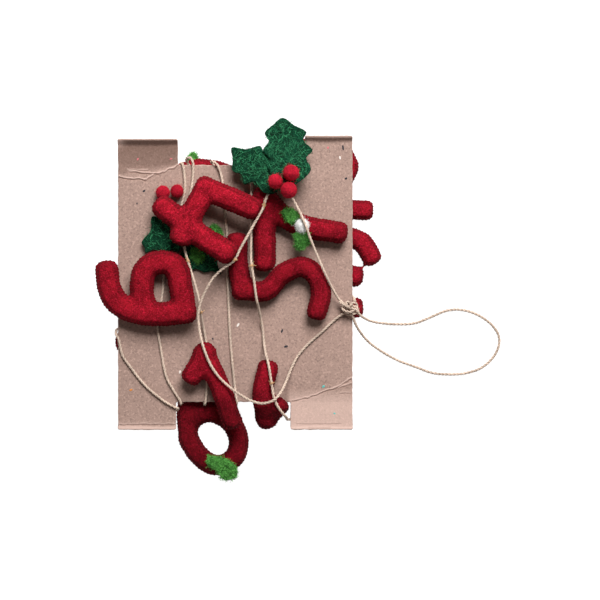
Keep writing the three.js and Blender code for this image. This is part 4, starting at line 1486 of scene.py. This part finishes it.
def add_stitches(piece, stitches, picker):
    """Whip stitches over the seam, slanted, a little uneven, and drawn down onto the felt."""
    work = bmesh.new()
    work.from_mesh(piece.data)
    felt = BVHTree.FromBMesh(work)
    work.free()
    lines = []
    for spot, tangent in stitches:
        out = seam_out(piece, spot, tangent)
        slant = picker.uniform(*STITCH_SLANT) * MM
        tall = STITCH_TALL * picker.uniform(*STITCH_UNEVEN) * MM
        arc = []
        for k in range(STITCH_POINTS):
            angle = math.pi * (k / (STITCH_POINTS - 1) - 0.5)
            wanted = spot + (UP * tall + tangent * slant) * math.sin(angle)
            wanted -= out * (1 - math.cos(angle)) * STITCH_IN * MM
            where, normal, _, _ = felt.find_nearest(Vector(wanted))
            sunk = STITCH_SUNK if k in (0, STITCH_POINTS - 1) else -STITCH_PROUD
            arc.append(np.array(where - normal * sunk * MM))
        lines.append(np.array(arc))
    absorb(piece, swept(piece.name + "_stitches", lines, sizes().thread_width / 2), 1)


def seam_out(piece, spot, tangent):
    """The level direction that leads out of the felt at a spot of the seam."""
    out = unit(np.cross(tangent, UP))
    _, _, normal, _ = piece.closest_point_on_mesh(Vector(spot))
    return out if float(np.dot(np.array(normal), out)) > 0 else -out


class GARLAND_OT_numerals(bpy.types.Operator):
    """Sews and stuffs the felt numerals"""

    bl_idname = "garland.numerals"
    bl_label = "Numerals"

    def execute(self, context):
        base = colour("red")
        bright = tuple(c * RED_FIBRE + more for c, more in zip(base, RED_FIBRE_TINT)) + (1.0,)
        shades = {"light": bright, "dark": scaled(base, 0.2), "tint": scaled(base, 1.6)}
        red = [
            felt_finish("red_felt_cloth", base, **shades, seam=True),
            strand_finish("red_sewing_thread", scaled(base, 0.8), light=1.1, dark=0.75, scale=700),
            strand_finish("red_wool_hairs", scaled(base, 1.3), light=1.3, dark=0.8, scale=300, sheen=0.3),
        ]
        for seed, name in enumerate(NUMERALS, start=21):
            padded_numeral(name, seed, red)
        return {"FINISHED"}


# holly, mistletoe and berries


class FeltCloth(NamedTuple):
    """How the felt of a leaf is made, in millimetres.

    It is rebuilt in facets of a cell's size and softened in rounds. It grows a little, with lumps of
    a size, a height and a step of the seed. Its hairs are listed with one in how many points has one.
    """

    cell: float
    rounds: int
    lumps: list
    grow: float
    hairs: list


# Slot 1 holds light hairs, slot 2 dark ones.
LEAF_KINDS = {
    "holly": FeltCloth(0.6, 5, [(1.8, 0.2, 0), (0.72, 0.1, 1)], 0.12, [
        (13, Hairs(1, 2.6, 6.5, 0.09, lift=0.16, rise=0.02, curl=0.48, lying=True, inside=True)),
        (12, Hairs(2, 2.2, 5.5, 0.11, lift=0.12, rise=0.02, curl=0.6, lying=True, inside=True)),
        (30, Hairs(1, 0.36, 0.9, 0.05, lift=0.0, rise=0.7, curl=1.2)),
    ]),
    "mistletoe": FeltCloth(0.45, 14, [(1.7, 0.5, 0), (0.68, 0.25, 1)], 0.3, [
        (5, Hairs(1, 1.28, 3.2, 0.12, lift=0.08, rise=0.02, curl=1.5, lying=True)),
        (9, Hairs(2, 1.04, 2.6, 0.12, lift=0.08, rise=0.02, curl=1.5, lying=True)),
        (8, Hairs(1, 0.96, 2.4, 0.07, lift=0.0, rise=0.7, curl=1.2)),
    ]),
}
LEAVES = {
    "holly_upper_large_leaf": "holly",
    "holly_upper_small_leaf": "holly",
    "holly_lower_left_leaf": "holly",
    "holly_lower_right_leaf": "holly",
    "mistletoe_7_upper_leaf": "mistletoe",
    "mistletoe_7_lower_leaf": "mistletoe",
    "mistletoe_4_upper_leaf": "mistletoe",
    "mistletoe_4_lower_leaf": "mistletoe",
    "mistletoe_notch_leaf": "mistletoe",
    "mistletoe_6_leaf": "mistletoe",
}
# The lumps of a wool ball, and how many hairs lie on it.
BERRY_KINDS = {
    "berry": ([(3.4, 0.22, 0), (1.2, 0.088, 1)], 240),
    "white": ([(3.4, 0.55, 0), (1.2, 0.22, 1)], 500),
}
BERRY_LYING_HAIRS = Hairs(1, 1.2, 3.0, 0.05, lift=0.04, rise=0.02, curl=1.8, lying=True)
BERRY_LOOSE_HAIRS = Hairs(1, 0.64, 1.6, 0.04, lift=0.0, rise=0.7, curl=1.2)
BERRIES = {
    "holly_upper_berry_top": "berry",
    "holly_upper_berry_left": "berry",
    "holly_upper_berry_low": "berry",
    "holly_lower_berry_left": "berry",
    "holly_lower_berry_right": "berry",
    "mistletoe_7_berry": "white",
}


def roughened(piece, layers, seed, grow=0.0):
    """Swells a piece by some millimetres, with lumps on it."""
    points = coords(piece.data)
    swell = lumps(points, layers, seed) + grow * MM
    set_coords(piece.data, points + normals(piece.data) * swell[:, None])
    shade_smooth(piece)


def felt_leaf(name, kind, seed, materials):
    """One leaf cut from thick felt, with softened edges and hairs on its face."""
    picker = random.Random(seed)
    felt = LEAF_KINDS[kind]
    piece = cad_copy(name, "felt_" + name)
    remesh(piece, felt.cell * MM, felt.rounds)
    roughened(piece, felt.lumps, seed, felt.grow)
    many = len(piece.data.vertices)
    for share, hairs in felt.hairs:
        add_hairs(piece, many // share, picker, hairs)
    keep_above_floor(piece.data)
    finish(piece, materials, kind + "_felt", name)


def wool_ball(name, kind, seed, materials):
    """One ball of felted wool, as big as its CAD solid."""
    picker = random.Random(seed)
    low, high = (Vector(corner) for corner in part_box(name))
    work = bmesh.new()
    lie = Matrix.LocRotScale((low + high) / 2, None, high - low)
    bmesh.ops.create_icosphere(work, subdivisions=5, radius=0.5, matrix=lie)
    piece = made_piece("wool_" + name, work)
    layers, many = BERRY_KINDS[kind]
    roughened(piece, layers, seed)
    add_hairs(piece, many, picker, BERRY_LYING_HAIRS)
    add_hairs(piece, many // 2, picker, BERRY_LOOSE_HAIRS)
    finish(piece, materials, kind + "_wool", name)


class GARLAND_OT_leaves(bpy.types.Operator):
    """Cuts the felt leaves of the holly and the mistletoe"""

    bl_idname = "garland.leaves"
    bl_label = "Leaves"

    def execute(self, context):
        green, hair, light = colour("holly"), colour("holly_hair"), colour("mistletoe")
        holly = {"light": scaled(hair, 0.95), "dark": scaled(green, 0.15), "tint": scaled(green, 1.7)}
        mistletoe = {"light": scaled(light, 1.5), "dark": scaled(light, 0.45), "tint": scaled(light, 1.6)}
        kinds = {
            "holly": [
                felt_finish("holly_felt_cloth", green, **holly),
                strand_finish("holly_light_hairs", scaled(hair, 1.5), light=1.5, dark=0.6, scale=400),
                strand_finish("holly_dark_hairs", scaled(green, 0.22), light=1.2, dark=0.7, scale=400),
            ],
            "mistletoe": [
                felt_finish("mistletoe_wool", light, **mistletoe),
                strand_finish("mistletoe_hairs", scaled(light, 1.6), light=1.7, dark=0.7, scale=500),
                strand_finish("mistletoe_dark_hairs", scaled(light, 0.35), light=1.2, dark=0.7, scale=500),
            ],
        }
        for seed, (name, kind) in enumerate(LEAVES.items(), start=51):
            felt_leaf(name, kind, seed, kinds[kind])
        return {"FINISHED"}


class GARLAND_OT_berries(bpy.types.Operator):
    """Rolls the wool berries"""

    bl_idname = "garland.berries"
    bl_label = "Berries"

    def execute(self, context):
        red, white = colour("berry"), colour("white")
        red_shades = {"light": scaled(red, 1.4), "dark": scaled(red, 0.42), "tint": scaled(red, 1.8)}
        kinds = {
            "berry": [
                felt_finish("berry_wool", red, **red_shades),
                strand_finish("berry_hairs", red, light=1.4, dark=0.8, scale=500),
            ],
            "white": [
                felt_finish("white_wool", white, light=WHITE, dark=scaled(white, 0.7), tint=WHITE),
                strand_finish("white_hairs", white, light=1.05, dark=0.9, scale=500),
            ],
        }
        for seed, (name, kind) in enumerate(BERRIES.items(), start=71):
            wool_ball(name, kind, seed, kinds[kind])
        return {"FINISHED"}


# ties

# Turns of thread round the twine: how they widen, follow each other and slant, and their short ends.
TIE_THREAD = 0.22
TIE_TURNS = 3
TIE_POINTS = 13
TIE_RADIUS = 1.3
TIE_GROWTH = 0.12
TIE_STEP = 0.55
TIE_SLANT = 0.5
TIE_ENDS = 4
TIE_END_RISE = (0.1, 0.5)
TIE_END_LENGTH = (2.4, 4.0)
TIE_END_CURL = 0.9


def tie_lines(middle, along, picker):
    """Three turns of thread round the twine, and the short ends of the knot."""
    side = unit(np.cross(along, UP))
    up = np.cross(side, along)
    lines = []
    for turn in range(TIE_TURNS):
        reach = (TIE_RADIUS + TIE_GROWTH * turn) * MM
        share = np.linspace(0, 1, TIE_POINTS)[:, None]
        angle = share * 2 * math.pi
        shift = (turn - 1) * TIE_STEP + TIE_SLANT * share
        lines.append(middle + (side * np.cos(angle) + up * np.sin(angle)) * reach + along * shift * MM)
    for _ in range(TIE_ENDS):
        out = around(picker.uniform(0, 2 * math.pi), along, side)
        heading = out + up * picker.uniform(*TIE_END_RISE)
        reach = picker.uniform(*TIE_END_LENGTH) * MM
        lines += hair_lines([middle + up * TIE_RADIUS * MM], [heading], [reach], TIE_END_CURL, picker)
    return lines


class GARLAND_OT_ties(bpy.types.Operator):
    """Ties the pieces to the twine with short ends of thread"""

    bl_idname = "garland.ties"
    bl_label = "Ties"

    def execute(self, context):
        routes = np.vstack([smooth_line(r, LINE_STEP * MM) for r in (WOUND_ROUTE, BOW_ROUTE)])
        lines = []
        for seed, spot in enumerate(TIES, start=91):
            i = int(np.argmin(np.linalg.norm(routes - np.array(place(*spot)), axis=1)))
            lines += tie_lines(routes[i], unit(routes[i + 1] - routes[i - 1]), random.Random(seed))
        piece = link("sewing_ties", swept("sewing_ties", lines, TIE_THREAD * MM))
        shade_smooth(piece)
        thread = strand_finish("tie_thread", colour("thread"), light=1.15, dark=0.8, scale=600)
        finish(piece, [thread], "twine")
        return {"FINISHED"}


# stage

# The surface's half size in metres, and its colour: it glows as well, so that it shows white.
SURFACE_HALF = 4.0
PAPER = (0.22, 0.22, 0.22, 1)
# The colour and the strength of the light all round.
STUDIO = (1.0, 0.88, 0.81, 1)
STUDIO_STRENGTH = 0.12
# The lamps: where each stands and how wide it is, in metres, and its power in watts.
LIGHTS = [
    ("key_light", (0.34, 1.16, 1.3), 0.95, 54.5),
    ("fill_light", (-0.9, -0.5, 1.2), 1.2, 1.6),
]


class GARLAND_OT_stage(bpy.types.Operator):
    """Lays the white surface and sets the soft studio lights"""

    bl_idname = "garland.stage"
    bl_label = "Stage"

    def execute(self, context):
        scene = context.scene
        work = bmesh.new()
        bmesh.ops.create_grid(work, x_segments=2, y_segments=2, size=SURFACE_HALF)
        floor = made_piece("white_surface", work)
        paper = bpy.data.materials.new("white_paper")
        paper.use_nodes = True
        shader = paper.node_tree.nodes["Principled BSDF"]
        shader.inputs["Base Color"].default_value = PAPER
        shader.inputs["Roughness"].default_value = 1.0
        shader.inputs["Emission Color"].default_value = WHITE
        shader.inputs["Emission Strength"].default_value = 1.0
        floor.data.materials.append(paper)
        for name, where, size, power in LIGHTS:
            lamp = bpy.data.lights.new(name, "AREA")
            lamp.size = size
            lamp.energy = power
            holder = bpy.data.objects.new(name, lamp)
            scene.collection.objects.link(holder)
            holder.location = where
            holder.rotation_euler = (-Vector(where)).to_track_quat("-Z", "Y").to_euler()
        world = bpy.data.worlds.new("studio")
        world.use_nodes = True
        background = world.node_tree.nodes["Background"]
        background.inputs["Color"].default_value = STUDIO
        background.inputs["Strength"].default_value = STUDIO_STRENGTH
        scene.world = world
        scene.view_settings.view_transform = "Standard"
        return {"FINISHED"}


STEPS = (
    GARLAND_OT_camera,
    GARLAND_OT_bow,
    GARLAND_OT_loop,
    GARLAND_OT_wound,
    GARLAND_OT_knot,
    GARLAND_OT_board,
    GARLAND_OT_numerals,
    GARLAND_OT_leaves,
    GARLAND_OT_berries,
    GARLAND_OT_ties,
    GARLAND_OT_stage,
)


class GARLAND_PT_steps(bpy.types.Panel):
    """The steps, in order, with the garland's sizes and colours"""

    bl_idname = "GARLAND_PT_steps"
    bl_label = "Felt garland"
    bl_space_type = "VIEW_3D"
    bl_region_type = "UI"
    bl_category = "Garland"

    def draw(self, context):
        for step in STEPS:
            self.layout.operator(step.bl_idname)
        for group in (context.scene.garland_sizes, context.scene.garland_colours):
            for key in group.__annotations__:
                self.layout.prop(group, key)


CLASSES = (GarlandColours, GarlandSizes, *STEPS, GARLAND_PT_steps)


def register():
    for cls in CLASSES:
        bpy.utils.register_class(cls)
    bpy.types.Scene.garland_colours = bpy.props.PointerProperty(type=GarlandColours)
    bpy.types.Scene.garland_sizes = bpy.props.PointerProperty(type=GarlandSizes)


def unregister():
    del bpy.types.Scene.garland_sizes
    del bpy.types.Scene.garland_colours
    for cls in reversed(CLASSES):
        bpy.utils.unregister_class(cls)


def main():
    """Makes the whole garland."""
    register()
    for step in STEPS:
        group, call = step.bl_idname.split(".")
        getattr(getattr(bpy.ops, group), call)()


if __name__ == "__main__":
    main()
